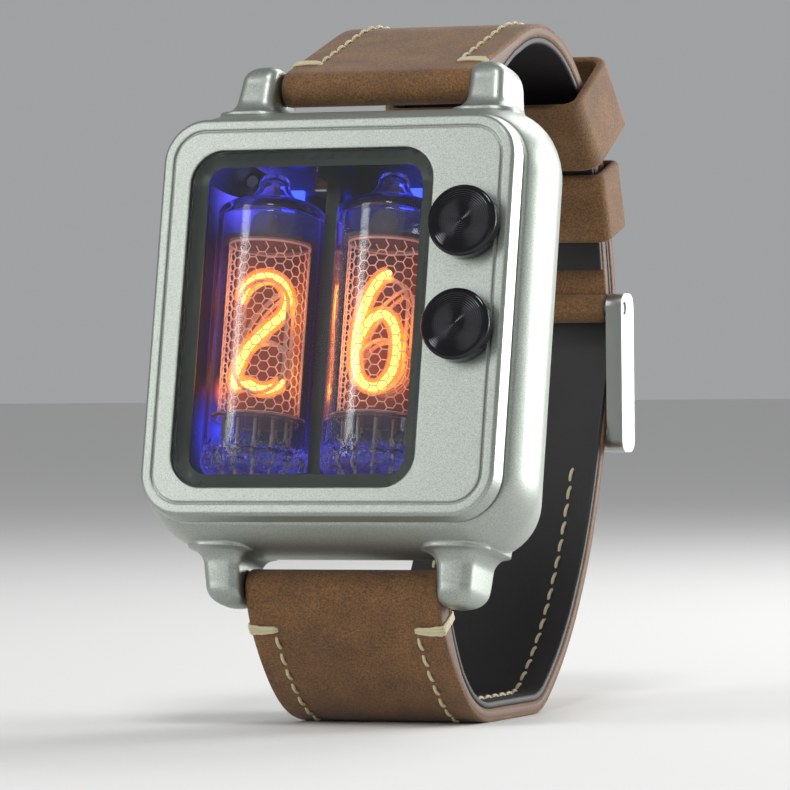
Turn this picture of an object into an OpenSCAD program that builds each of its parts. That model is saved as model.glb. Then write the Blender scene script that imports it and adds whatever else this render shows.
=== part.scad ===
// Nixie tube wristwatch on a buckled two-piece leather strap.
// Millimetres. +Z is up, +Y points away from the reader, the watch stands on the flat of its strap.
// The head is drawn in its own frame (x right, y up the face, z out of the face) and leant back.

/* [Stance] */
// Angle that the face leans back from upright
lean = 12; // [8:0.5:16]

/* [Face] */
// Width of the flat face
face_w = 42.3; // [41.5:0.1:45]
// Height of the flat face
face_h = 45.4; // [44.6:0.1:49]
// Corner radius of the face
face_r = 4.7; // [3.5:0.1:6]
// Chamfer round the face
face_chamfer = 0.35; // [0.2:0.05:0.6]
// How far the bezel's side wall flares out by its foot
bezel_flare = 0.7; // [0.5:0.05:1]
// Thickness of the bezel plate
bezel_t = 2.2; // [2.2:0.1:2.8]
// Height of the parting groove under the bezel
groove_h = 0.7; // [0.4:0.05:1]
// Depth of the parting groove
groove_d = 1.1; // [0.6:0.1:1.6]
// Inset of the line engraved round the face
line_inset = 0.95; // [0.7:0.05:1.3]
// Width of the engraved line
line_w = 0.28; // [0.15:0.01:0.5]
// Depth of the engraved line
line_d = 0.2; // [0.1:0.05:0.4]

/* [Window] */
// Distance from the face's left edge to the window
rim_left = 3.25; // [3.1:0.05:3.4]
// Distance from the face's right edge to the window, past the buttons
rim_right = 9.15; // [9.05:0.05:9.3]
// Distance from the face's top edge to the window
rim_top = 3.36; // [3.2:0.02:3.6]
// Distance from the face's lower edge to the window
rim_foot = 2.84; // [2.7:0.02:3]
// Corner radius of the window
window_r = 3.9; // [3:0.1:5]
// Width of the dark border printed round the window
border_w = 1.75; // [1.3:0.05:2.2]
// Thickness of the glass
glass_t = 1.3; // [1:0.1:1.4]
// How far the glass sits below the face
glass_sink = 0.4; // [0.2:0.05:0.6]

/* [Case] */
// Thickness of the cell that lies on the case's back
cell_t = 1.95; // [1.7:0.05:4]
// Radius of the bulging flank
flank_r = 17; // [15:0.5:22]
// How far the flank bulges past the face's edge
flank_out = 3.2; // [2.4:0.1:4]
// How far the left and right flanks bulge before they tuck under
side_out = 2.47; // [2:0.05:3]
// Radius of the left and right flanks
side_r = 8.9; // [8:0.1:11]
// Depth at which the left and right flanks are widest
side_d = 8; // [7:0.1:9]
// Narrowing of the case's back at the left and right, from the face's edge
tuck_in = 1.0; // [0.4:0.1:1.2]
// Thickness of the wall between the pocket and the face's edge line
pocket_wall = 2.2; // [2:0.1:2.6]

/* [Lugs] */
// Gap between the strap's edge and a lug
strap_side = 0.2; // [0.15:0.05:0.4]
// Width of a lug at its root
lug_root_w = 4.8; // [4.2:0.1:5.4]
// Width of a lug at its tip
lug_tip_w = 4.2; // [3.8:0.1:4.8]
// Radius along a lug's long edges
lug_edge_r = 1.1; // [0.6:0.1:1.4]
// Distance of a lug's tip from the face's middle line
lug_reach = 31.6; // [31.4:0.1:34]
// Depth of a lug's front below the face
lug_front = 7.3; // [7:0.1:8.4]
// Depth of a lug's back below the face
lug_back = 15.9; // [15.4:0.1:17.5]
// Distance of the spring bars from the face's middle line
bar_y = 29.3; // [28.8:0.1:29.5]
// Depth of the spring bars below the face
bar_d = 11.9; // [11.5:0.1:12.4]
// Radius of the spring bar's barrel
bar_r = 0.9; // [0.75:0.05:1]
// Radius of the spring bar's tips
bar_tip_r = 0.4; // [0.35:0.05:0.5]
// Travel of a spring bar tip
bar_travel = 1; // [0.7:0.05:1.2]

/* [Buttons] */
// Radius of a button
button_r = 4.1; // [3.6:0.1:4.3]
// Height of a button's top above the face
button_h = 2.1; // [1.9:0.1:2.6]
// Chamfer of a button's top edge
button_chamfer = 0.3; // [0.15:0.05:0.5]
// Distance of the buttons' middles from the face's right edge
button_edge = 4.65; // [4.55:0.05:4.8]
// Height of the upper button above the face's middle
button_y_upper = 10.25; // [9.5:0.1:11]
// Height of the lower button above the face's middle
button_y_lower = -1.6; // [-2.5:0.1:0]
// Travel of a button
button_travel = 0.5; // [0.3:0.05:0.6]
// Radius of a button's stem
stem_r = 1.5; // [1.2:0.05:1.6]
// Number of rings turned into a button's top
button_rings = 15; // [8:1:18]

/* [Tubes] */
// Gap between the two tubes
tube_between = 2.3; // [2:0.1:2.6]
// Gap between the window's left edge and the left tube
tube_side_left = 0.7; // [0.6:0.05:0.9]
// Gap between the window's right edge and the right tube
tube_side_right = 1.9; // [1.8:0.05:2.2]
// Depth of the tubes' front below the face
tube_under = 2.35; // [2.3:0.05:2.8]
// Thickness of the tube glass
tube_wall = 0.6; // [0.4:0.05:0.8]
// Room between the tubes' tips and the pocket's upper end
tube_room_top = 2.55; // [2.2:0.05:3]
// Room between the tubes' feet and the pocket's lower end, for the leads
tube_room_foot = 3.55; // [3.5:0.05:4]
// Gap between the anode mesh and the glass's outside
anode_gap = 1.6; // [1.4:0.05:1.9]
// Length of a tube above its mesh
head_l = 8.5; // [8:0.1:9]
// Length of a tube below its mesh
base_l = 6.8; // [6.4:0.1:7.2]
// Height of a numeral
digit_h = 13.6; // [12:0.1:14]
// Gap between a numeral's side and the mesh
digit_gap = 1.35; // [1.2:0.05:1.8]
// Thickness of a numeral's wire
digit_wire = 0.42; // [0.3:0.02:0.6]

/* [Strap] */
// Width of the strap at the lugs
strap_w = 23.7; // [21:0.1:25]
// Width of the strap at the buckle
strap_end_w = 22; // [18:0.1:22.4]
// Thickness of the strap's leather
leather_t = 1.6; // [1.4:0.05:1.8]
// Thickness of the strap's lining
lining_t = 0.75; // [0.6:0.05:0.9]
// Radius of the fold round a spring bar
fold_r = 2.1; // [2:0.05:2.3]
// Length of the upper strap's straight rise from the lugs
rise_l = 16.3; // [15.5:0.1:17]
// Slope of that rise
rise_a = 17.5; // [16.5:0.5:18.5]
// Length of the flat that the watch stands on
flat_l = 14.6; // [13.8:0.1:15.6]
// Width of the fixed keeper
keeper_w = 8.4; // [6:0.1:9]
// Thickness of a keeper
keeper_t = 1.1; // [0.9:0.1:1.4]
// Slack of the free keeper outside the strap's end
keeper_slack = 3.7; // [3:0.1:4.2]
// Distance between two stitches
stitch_pitch = 2.4; // [2:0.1:3]

/* [Buckle] */
// Length of the buckle frame from its bar to its front bar
buckle_l = 16.2; // [15.4:0.1:16.6]
// Thickness of the buckle frame across
buckle_t = 2; // [1.6:0.1:2.4]
// Depth of the buckle's side rails
buckle_rail = 4.4; // [4:0.1:4.8]
// Radius of the buckle's bar
buckle_bar_r = 0.75; // [0.6:0.05:0.9]
// Width of the buckle's tongue
tongue_w = 2; // [1.6:0.1:2.4]

/* [Hidden] */
$fn = 48;

// Fits and small gaps
run_gap = 0.05;
slip = 0.15;
screw_gap = 0.02;

// Window, from the face
window_w = face_w - rim_left - rim_right;
window_h = face_h - rim_top - rim_foot;
window_off_x = (rim_right - rim_left) / 2;
window_off_y = (rim_top - rim_foot) / 2;

// Head levels, as z below the face
neck_z = -bezel_t;
seat_z = -bezel_t - groove_h;
glass_top_z = -glass_sink;
glass_low_z = glass_top_z - glass_t;
mask_t = 0.06;
adhesive_t = 0.14;
ledge_z = glass_low_z - mask_t - adhesive_t;
ledge_in = 1;

// Pocket inside the case, and the frame that fills it
pocket_x = face_w / 2 - pocket_wall - 0.3;
pocket_y = face_h / 2 - pocket_wall + 0.4;
pocket_r = 3.4;
frame_x = pocket_x - slip;
frame_y = pocket_y - slip;

// Tubes, between the window's sides and the pocket's ends
tube_r = (window_w - tube_side_left - tube_side_right - tube_between) / 4;
tube_d = tube_under + tube_r;
tube_left_x = tube_side_left + tube_r - window_off_x - window_w / 2;
tube_right_x = tube_left_x + 2 * tube_r + tube_between;
tube_mid_x = (tube_left_x + tube_right_x) / 2;
tube_top = frame_y - tube_room_top;
tube_foot = frame_y - tube_room_foot;
anode_r = tube_r - anode_gap;
anode_top = tube_top - head_l;
anode_foot = tube_foot - base_l;
digit_w = 2 * (anode_r - digit_gap);
lead_ring = anode_r - 0.75;

// Board and cell, below the tubes, and the case's back behind them
board_t = 0.8;
board_gap = 0.45;
main_board_z = -tube_d - tube_r - board_gap - board_t;
pad_t = 0.2;
cell_gap = 0.25;
cell_z = main_board_z - pad_t - cell_t;
cell_w = 2 * (frame_x - 4);
cell_h = 2 * (frame_y - 4.25);
case_d = cell_gap - cell_z;
back_z = -case_d;
back_t = 1.4;
back_in = 0.7;
widen = 1.3;
widen_top = seat_z - 2.2;
widen_low = back_z + 4.2;

// Lugs, on both sides of the strap
lug_gap = strap_w + 2 * strap_side;

// Screws
screw_r = 0.7;
screw_head_r = 1.25;
screw_head_t = 0.8;
corner_x = face_w / 2 - 4.1;
corner_y = face_h / 2 - 3.4;
boss_r = 2;
back_boss_h = 4;
bezel_ear_t = 1.6;

// Button levels
button_x = face_w / 2 - button_edge;
cap_low_z = button_travel + 0.05;
cap_hollow = 0.5;
boss_low_z = seat_z - 0.9;
button_boss_r = stem_r + 0.6;
clip_r = stem_r + 0.7;
spring_seat_z = -1.3;
spring_r = 2.2;
spring_wire = 0.35;
clip_gap = 0.05;
clip_t = 0.4;
clip_z = boss_low_z - clip_gap - clip_t;
stem_low_z = clip_z - 0.5;
plunger_r = 0.9;
plunger_l = 2;
plunger_gap = 0.03;
plunger_top_z = stem_low_z - plunger_gap;
switch_top_z = plunger_top_z - button_travel - 0.35;
switch_h = 2.2;
switch_w = 4.6;
button_board_z = switch_top_z - switch_h - board_t;

// ---------- the strap's side view: points are [depth, up] from the face's middle ----------

// A point of the head, as [depth, up]
function head_point(y, z) = [y * sin(lean) - z * cos(lean), y * cos(lean) + z * sin(lean)];

// A path of runs, each [length, turn in degrees], as points with their heading: [depth, up, heading]
step_l = 1.6;
step_a = 6;
function run_steps(run) = max(1, round(run[0] / step_l), ceil(abs(run[1]) / step_a));
function walk(p, runs, i = 0) =
  i == len(runs) ? [p]
  : let (n = run_steps(runs[i]), l = runs[i][0] / n, a = runs[i][1] / n)
    concat([for (k = 0, q = p; k < n; k = k + 1,
                 q = [q[0] + l * cos(q[2] + a / 2), q[1] + l * sin(q[2] + a / 2), q[2] + a]) q],
           walk(walk_end(p, l, a, n), runs, i + 1));
function walk_end(q, l, a, n) =
  n == 0 ? q
  : walk_end([q[0] + l * cos(q[2] + a / 2), q[1] + l * sin(q[2] + a / 2), q[2] + a], l, a, n - 1);

// Moves each point of a path to the left of its heading
function gap_of(a, b) = norm([b[0] - a[0], b[1] - a[1]]);
function shift(path, d) = [for (q = path) [q[0] - d * sin(q[2]), q[1] + d * cos(q[2]), q[2]]];
function turned(path) = [for (i = [len(path) - 1 : -1 : 0]) [path[i][0], path[i][1], path[i][2] + 180]];

strap_t = leather_t + lining_t;
upper_bar = head_point(bar_y, -bar_d);
lower_bar = head_point(-bar_y, -bar_d);

// Outer face of the upper strap, from the spring bar to the buckle's bar
over_l = 29.3;
over_a = 81.5;
down_l = 22.8;
end_a = -84;
upper_runs = [[rise_l, 0], [over_l, -over_a], [down_l, end_a - rise_a + over_a]];
upper_start = [upper_bar[0] - fold_r * sin(rise_a), upper_bar[1] + fold_r * cos(rise_a), rise_a];
upper_path = walk(upper_start, upper_runs);
upper_end = upper_path[len(upper_path) - 1];

// Outer face of the lower strap, from its spring bar round the flat and up the back
lower_a = -80;
// What the upper strap leaves of the back's length, the lower one rises
back_l = 36.3;
lower_runs = [[5.5, 22], [9.8, 18], [9.6, 40], [flat_l, 0], [5, 32], [24, 30], [back_l - down_l, 9.5]];
flat_s = lower_runs[0][0] + lower_runs[1][0] + lower_runs[2][0];
lower_start = [lower_bar[0] + fold_r * sin(lower_a), lower_bar[1] - fold_r * cos(lower_a), lower_a];
lower_first = walk(lower_start, lower_runs);
lower_turn = lower_first[len(lower_first) - 1];

// The strap's long end lies on the upper strap, from the buckle's bar back up to its tip
tail_gap = 0.12;
tail_l = 31;
tail_full = shift(turned(upper_path), -strap_t - tail_gap);
tail_n = round(tail_l / step_l);
tail_path = [for (i = [1 : tail_n]) tail_full[i]];

// A smooth bend joins the two: a cubic with both headings
join_k = 0.38;
tail_first = tail_path[0];
join_l = gap_of(lower_turn, tail_first);
join_n = 10;
join_a = [lower_turn[0] + join_k * join_l * cos(lower_turn[2]), lower_turn[1] + join_k * join_l * sin(lower_turn[2])];
join_b = [tail_first[0] - join_k * join_l * cos(tail_first[2]), tail_first[1] - join_k * join_l * sin(tail_first[2])];
function cubic(a, b, c, d, t) =
  pow(1 - t, 3) * a + 3 * pow(1 - t, 2) * t * b + 3 * (1 - t) * t * t * c + pow(t, 3) * d;
function cubic_slope(a, b, c, d, t) =
  3 * pow(1 - t, 2) * (b - a) + 6 * (1 - t) * t * (c - b) + 3 * t * t * (d - c);
join_path = [for (i = [1 : join_n - 1])
  let (t = i / join_n, a = [lower_turn[0], lower_turn[1]], d = [tail_first[0], tail_first[1]],
       q = cubic(a, join_a, join_b, d, t), s = cubic_slope(a, join_a, join_b, d, t))
  [q[0], q[1], atan2(s[1], s[0])]];
lower_path = concat(lower_first, join_path, tail_path);

// The flat's level and middle set where the head stands
flat_up = min([for (q = lower_first) q[1]]);
flat_start = walk(lower_start, [lower_runs[0], lower_runs[1], lower_runs[2]]);
flat_mid = flat_start[len(flat_start) - 1][0] + flat_l / 2;

// Buckle's bar, in the fold just inside the end of the upper strap
buckle_fold_r = buckle_bar_r + 0.9;
fold_in = buckle_fold_r + 0.06;
buckle_at = [upper_end[0] + fold_in * sin(end_a), upper_end[1] - fold_in * cos(end_a)];

// ---------- placing ----------

module head() {
  translate([0, -flat_mid, -flat_up]) rotate([90 - lean, 0, 0]) children();
}

// Puts [depth, up] work at its place, with its own x along the heading and y to its left
module at_path(q) {
  translate([0, q[0] - flat_mid, q[1] - flat_up]) rotate([90, 0, 90]) rotate([0, 0, q[2]]) children();
}

// ---------- plain shapes ----------

module slab(w, h, r, t) {
  linear_extrude(t) rounded(w, h, r);
}

module rounded(w, h, r) {
  square([w - 2 * r, h], center = true);
  square([w, h - 2 * r], center = true);
  for (x = [-1, 1], y = [-1, 1]) translate([x * (w / 2 - r), y * (h / 2 - r)]) circle(r);
}

module ring_slab(w, h, r, band, t) {
  difference() {
    slab(w, h, r, t);
    translate([0, 0, -1]) slab(w - 2 * band, h - 2 * band, max(r - band, 0.4), t + 2);
  }
}

module corners(x, y) {
  for (i = [-1, 1], j = [-1, 1]) translate([i * x, j * y, 0]) children();
}

// A side view [out, z] swept round a rounded rectangle with straight sides
module swept_edge(w, h, r, side) {
  inner = [for (q = side) [q[0] + r, q[1]]];
  flat_x = w / 2 - r;
  flat_y = h / 2 - r;
  low = side[0][1];
  high = side[len(side) - 1][1];
  for (i = [-1, 1], j = [-1, 1]) translate([i * flat_x, j * flat_y, 0])
    rotate_extrude() polygon(concat([[0, low]], inner, [[0, high]]));
  rotate([90, 0, 0]) translate([0, 0, -flat_y]) linear_extrude(2 * flat_y)
    mirrored_side(flat_x, inner, low, high);
  rotate([90, 0, 90]) translate([0, 0, -flat_x]) linear_extrude(2 * flat_x)
    mirrored_side(flat_y, inner, low, high);
}

module mirrored_side(half, side, low, high) {
  right = [for (q = side) [half + q[0], q[1]]];
  left = [for (i = [len(side) - 1 : -1 : 0]) [-half - side[i][0], side[i][1]]];
  polygon(concat(right, left));
}

// ---------- case ----------

function flank_at(z, out, r, d) = out - r + sqrt(max(r * r - pow(z + d, 2), 0));
flank_d = 11.5;
flank_steps = 12;
// Side view of the case's flank, from the back up to the parting groove
flank_side = [for (i = [0 : flank_steps])
  let (z = back_z + (seat_z - back_z) * i / flank_steps) [flank_at(z, flank_out, flank_r, flank_d), z]];

// The left and right flanks turn under along a straight line below this depth
tuck_z = -side_d - 3.3;
side_steps = 8;
tuck_side = concat([[-tuck_in, back_z - 1]],
  [for (i = [0 : side_steps])
    let (z = tuck_z + (seat_z - tuck_z) * i / side_steps) [flank_at(z, side_out, side_r, side_d), z]]);

module case_blank() {
  intersection() {
    swept_edge(face_w, face_h, face_r, flank_side);
    rotate([90, 0, 0]) translate([0, 0, -face_h]) linear_extrude(2 * face_h)
      mirrored_side(face_w / 2, tuck_side);
  }
}

lug_root_y = face_h / 2 - 4;

// Side view of a lug, x towards the tip and y out of the face
module lug_side() {
  tip_r = 2.2;
  back_r = 3;
  drop = 0.9;
  polygon([[lug_root_y, -lug_front], [bar_y - 2, -lug_front - 0.3], [lug_reach - tip_r, -lug_front - drop],
           [lug_reach, -lug_front - drop - tip_r], [lug_reach, -lug_back + back_r],
           [lug_reach - back_r, -lug_back], [lug_root_y, -lug_back - 0.4]]);
  translate([lug_reach - tip_r, -lug_front - drop - tip_r]) circle(tip_r);
  translate([lug_reach - back_r, -lug_back + back_r]) circle(back_r);
}

// Plan of a lug, seen from the face
module lug_plan() {
  in = lug_gap / 2;
  r = 1.4;
  polygon([[in, lug_root_y], [in + lug_root_w, lug_root_y], [in + lug_root_w, face_h / 2 + 1.5],
           [in + lug_tip_w, lug_reach - r], [in + lug_tip_w - r, lug_reach], [in + 0.4, lug_reach],
           [in, lug_reach - 0.4]]);
  translate([in + lug_tip_w - r, lug_reach - r]) circle(r);
}

// Section of a lug across its length, with round edges
module lug_section() {
  h = lug_back + 0.4 - lug_front;
  translate([lug_gap / 2 + lug_root_w / 2, -lug_front - h / 2]) rounded(lug_root_w, h, lug_edge_r);
}

module lug() {
  intersection() {
    translate([lug_gap / 2 - 1, 0, 0]) rotate([90, 0, 90]) linear_extrude(lug_root_w + 3) lug_side();
    translate([0, 0, -case_d - 1]) linear_extrude(case_d + 1) lug_plan();
    translate([0, lug_reach + 1, 0]) rotate([90, 0, 0]) linear_extrude(lug_reach + 2 - lug_root_y) lug_section();
  }
}

module case_body() {
  color([0.74, 0.77, 0.74]) head() difference() {
    union() {
      case_blank();
      for (i = [0, 1], j = [0, 1]) mirror([i, 0, 0]) mirror([0, j, 0]) lug();
    }
    difference() {
      union() {
        translate([0, 0, back_z - 1]) slab(2 * pocket_x, 2 * pocket_y, pocket_r, case_d + 1);
        translate([0, 0, widen_low])
          slab(2 * (pocket_x + widen), 2 * (pocket_y + widen), pocket_r + widen, widen_top - widen_low);
      }
      corners(corner_x, corner_y) translate([0, 0, seat_z - bezel_ear_t]) cylinder(r = boss_r + 0.4, h = 8);
      corners(corner_x, corner_y) translate([0, 0, back_z - 2]) cylinder(r = boss_r, h = back_boss_h + 2);
    }
    corners(corner_x, corner_y) {
      translate([0, 0, seat_z - bezel_ear_t - 1]) cylinder(r = screw_r + slip, h = bezel_ear_t + 2);
      translate([0, 0, seat_z - bezel_ear_t - 1]) cylinder(r = screw_head_r + slip, h = 1);
    }
    corners(corner_x, corner_y) translate([0, 0, back_z - 1]) cylinder(r = screw_r + screw_gap, h = back_boss_h);
    translate([0, 0, seat_z - gasket_h]) ring_slab(2 * gasket_x, 2 * gasket_y, gasket_r, gasket_w, 2);
    for (y = [button_y_upper, button_y_lower]) translate([button_x, y, widen_top - 0.5])
      cylinder(r = clip_r + 0.2, h = seat_z - widen_top + 1);
    for (j = [-1, 1]) translate([-lug_gap / 2 - bar_hole_d, j * bar_y, -bar_d]) rotate([0, 90, 0])
      cylinder(r = bar_tip_r + run_gap, h = lug_gap + 2 * bar_hole_d);
  }
}

gasket_w = 0.8;
gasket_h = 0.35;
gasket_x = pocket_x + 1.15;
gasket_y = pocket_y + 1.15;
gasket_r = pocket_r + 0.9;
bar_hole_d = 1.3;

module bezel_gasket() {
  color([0.08, 0.08, 0.08]) head() translate([0, 0, seat_z - gasket_h])
    ring_slab(2 * gasket_x - 0.04, 2 * gasket_y - 0.04, gasket_r - 0.02, gasket_w - 0.04, gasket_h);
}

module bezel_screws() {
  color([0.6, 0.6, 0.62]) head() corners(corner_x, corner_y) {
    translate([0, 0, seat_z - bezel_ear_t - screw_head_t]) cylinder(r = screw_head_r, h = screw_head_t);
    translate([0, 0, seat_z - bezel_ear_t]) cylinder(r = screw_r, h = bezel_ear_t + 1.4);
  }
}

// ---------- bezel and window ----------

module bezel() {
  neck_in = groove_d - bezel_flare;
  wall = [[bezel_flare, neck_z], [face_chamfer, -face_chamfer], [0, 0]];
  color([0.76, 0.79, 0.76]) head() difference() {
    union() {
      swept_edge(face_w, face_h, face_r, wall);
      translate([0, 0, seat_z]) slab(face_w - 2 * neck_in, face_h - 2 * neck_in, face_r - neck_in, groove_h + 0.2);
      translate([0, 0, seat_z - 0.7])
        slab(2 * (pocket_x - slip), 2 * (pocket_y - slip), pocket_r - slip, 0.8);
      for (y = [button_y_upper, button_y_lower]) translate([button_x, y, boss_low_z])
        cylinder(r = button_boss_r, h = 2);
    }
    translate([-window_off_x, -window_off_y, ledge_z]) slab(window_w, window_h, window_r, 5);
    translate([-window_off_x, -window_off_y, -6])
      slab(window_w - 2 * ledge_in, window_h - 2 * ledge_in, window_r - ledge_in, 8);
    corners(corner_x, corner_y) translate([0, 0, seat_z - 1]) cylinder(r = boss_r + 0.55, h = 1);
    corners(corner_x, corner_y) translate([0, 0, seat_z - 0.5]) cylinder(r = screw_r + screw_gap, h = 2);
    translate([0, 0, -line_d])
      ring_slab(face_w - 2 * line_inset, face_h - 2 * line_inset, face_r - line_inset, line_w, 1);
    for (y = [button_y_upper, button_y_lower]) translate([button_x, y, 0]) {
      translate([0, 0, boss_low_z - 1]) cylinder(r = stem_r + run_gap, h = 8);
      translate([0, 0, spring_seat_z]) cylinder(r = spring_r + slip, h = 3);
      translate([0, 0, seal_z]) cylinder(r = seal_r + 0.02, h = seal_t);
    }
  }
}

seal_r = stem_r + 0.6;
seal_t = 0.6;
seal_z = seat_z + 0.05;

module button_seals() {
  color([0.1, 0.1, 0.1]) head() for (y = [button_y_upper, button_y_lower]) translate([button_x, y, seal_z])
    difference() {
      cylinder(r = seal_r, h = seal_t);
      translate([0, 0, -1]) cylinder(r = stem_r + 0.02, h = 3);
    }
}

module window_glass() {
  color([0.75, 0.85, 0.85, 0.35]) head() translate([-window_off_x, -window_off_y, glass_low_z])
    slab(window_w - 2 * slip, window_h - 2 * slip, window_r - slip, glass_t);
}

module window_mask() {
  color([0.3, 0.33, 0.3]) head() translate([-window_off_x, -window_off_y, glass_low_z - mask_t])
    ring_slab(window_w - 2 * slip, window_h - 2 * slip, window_r - slip, border_w - slip, mask_t);
}

module window_adhesive() {
  color([0.06, 0.06, 0.06]) head() translate([-window_off_x, -window_off_y, ledge_z])
    ring_slab(window_w - 2 * slip, window_h - 2 * slip, window_r - slip, ledge_in - slip, adhesive_t);
}

// ---------- case back ----------

back_w = face_w - 2 * tuck_in - 2 * back_in;
back_h = face_h + 2 * (flank_side[0][0] - back_in);
back_r = face_r + 0.6;
back_gasket_w = 0.4;
back_gasket_x = pocket_x + 0.6;
back_gasket_y = pocket_y + 0.6;
back_gasket_r = pocket_r + 0.4;

module case_back() {
  color([0.6, 0.62, 0.6]) head() difference() {
    union() {
      translate([0, 0, back_z - back_t + 0.4]) slab(back_w, back_h, back_r, back_t - 0.4);
      translate([0, 0, back_z - back_t]) slab(back_w - 0.8, back_h - 0.8, back_r - 0.4, 0.4);
    }
    corners(corner_x, corner_y) {
      translate([0, 0, back_z - back_t - 1]) cylinder(r = screw_r + slip, h = 5);
      translate([0, 0, back_z - back_t - 1]) cylinder(r = screw_head_r + slip, h = 1.8);
    }
    translate([0, 0, back_z - 0.3])
      ring_slab(2 * back_gasket_x, 2 * back_gasket_y, back_gasket_r, back_gasket_w, 1);
  }
}

module back_gasket() {
  color([0.08, 0.08, 0.08]) head() translate([0, 0, back_z - 0.3])
    ring_slab(2 * back_gasket_x - 0.04, 2 * back_gasket_y - 0.04, back_gasket_r - 0.02, back_gasket_w - 0.04, 0.3);
}

module back_screws() {
  color([0.6, 0.6, 0.62]) head() corners(corner_x, corner_y) difference() {
    union() {
      translate([0, 0, back_z - back_t + 0.05]) cylinder(r = screw_head_r, h = 0.75);
      translate([0, 0, back_z - back_t + 0.6]) cylinder(r = screw_r, h = back_boss_h - 0.6);
    }
    translate([0, 0, back_z - back_t + 0.2]) cube([2.2 * screw_head_r, 0.3, 0.4], center = true);
  }
}

// ---------- buttons and switches ----------

module button(y) {
  ring_in = button_r - button_chamfer - 0.25;
  pitch = ring_in / (button_rings + 0.5);
  color([0.06, 0.06, 0.07]) head() translate([button_x, y, 0]) difference() {
    union() {
      translate([0, 0, cap_low_z]) cylinder(r = button_r, h = button_h - button_chamfer - cap_low_z);
      translate([0, 0, button_h - button_chamfer])
        cylinder(r1 = button_r, r2 = button_r - button_chamfer, h = button_chamfer);
      translate([0, 0, stem_low_z]) cylinder(r = stem_r, h = cap_low_z - stem_low_z + 0.5);
    }
    rotate_extrude() for (i = [1 : button_rings])
      polygon([[i * pitch - 0.3 * pitch, button_h + 0.01], [i * pitch, button_h - 0.08],
               [i * pitch + 0.3 * pitch, button_h + 0.01]]);
    translate([0, 0, cap_low_z - 0.01]) difference() {
      cylinder(r = spring_r + slip, h = cap_hollow);
      translate([0, 0, -1]) cylinder(r = stem_r, h = 3);
    }
    translate([0, 0, clip_z - 0.01]) difference() {
      cylinder(r = stem_r + 1, h = clip_t + 0.02);
      translate([0, 0, -1]) cylinder(r = stem_r - 0.3, h = 3);
    }
  }
}

module button_upper() { button(button_y_upper); }
module button_lower() { button(button_y_lower); }

// The clip is a spring-steel ring with a mouth, in the stem's groove
module button_clip(y) {
  color([0.5, 0.5, 0.52]) head() translate([button_x, y, clip_z]) difference() {
    cylinder(r = clip_r, h = clip_t);
    translate([0, 0, -1]) cylinder(r = stem_r - 0.28, h = 3);
    translate([0, -0.8, -1]) cube([4, 1.6, 3]);
  }
}

module button_clip_upper() { button_clip(button_y_upper); }
module button_clip_lower() { button_clip(button_y_lower); }

module button_spring(y) {
  color([0.7, 0.7, 0.72]) head() translate([button_x, y, spring_seat_z]) difference() {
    cylinder(r = spring_r, h = cap_low_z + cap_hollow - 0.02 - spring_seat_z);
    translate([0, 0, -1]) cylinder(r = spring_r - spring_wire, h = 6);
  }
}

module button_spring_upper() { button_spring(button_y_upper); }
module button_spring_lower() { button_spring(button_y_lower); }

module switch_bodies() {
  color([0.15, 0.15, 0.16]) head() for (y = [button_y_upper, button_y_lower])
    translate([button_x, y, switch_top_z - switch_h]) difference() {
      translate([-switch_w / 2, -switch_w / 2, 0]) cube([switch_w, switch_w, switch_h]);
      translate([0, 0, 0.3]) cylinder(r = plunger_r + run_gap, h = switch_h);
    }
}

module switch_plunger(y) {
  color([0.85, 0.84, 0.8]) head() translate([button_x, y, plunger_top_z - plunger_l])
    cylinder(r = plunger_r, h = plunger_l);
}

module switch_plunger_upper() { switch_plunger(button_y_upper); }
module switch_plunger_lower() { switch_plunger(button_y_lower); }

button_board_w = 5.2;
button_board_h = button_y_upper - button_y_lower + switch_w + 4;
button_board_y = (button_y_upper + button_y_lower - button_board_h) / 2;

module button_board() {
  color([0.05, 0.12, 0.08]) head()
    translate([button_x - button_board_w / 2, button_board_y, button_board_z])
      cube([button_board_w, button_board_h, board_t]);
}

// ---------- inside: frame, boards, cell ----------

frame_top_z = seat_z - 0.7 - bezel_ear_t - 0.3;
frame_low_z = main_board_z + board_t;
cradle_gap = 0.3;
cradle_end = 1.2;
rail = 0.9;
bay_left = tube_right_x + tube_r + cradle_gap + rail;
bay_right = frame_x - rail;
bay_y = frame_y - 3.5;

// Screws through the main board into the frame, clear of the cell
post_left = [2.3 - frame_x, frame_y - 7.25];
post_right = [bay_left + 0.9, frame_y - 2.15];
post_r = 0.5;
post_l = 1.5;
module posts() {
  for (q = [post_left, post_right], j = [-1, 1]) translate([q[0], j * q[1], 0]) children();
}

// The blue lamps stand above each tube and below its leads
led_w = 2;
led_h = 1.2;
led_t = 0.7;
led_y = [tube_top - 1, 0.9 - frame_y];
module led_blocks(gap) {
  for (x = [tube_left_x, tube_right_x], y = led_y)
    translate([x - led_w / 2 - gap, y - led_h / 2 - gap, frame_low_z - gap])
      cube([led_w + 2 * gap, led_h + 2 * gap, led_t + 2 * gap]);
}

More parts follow.
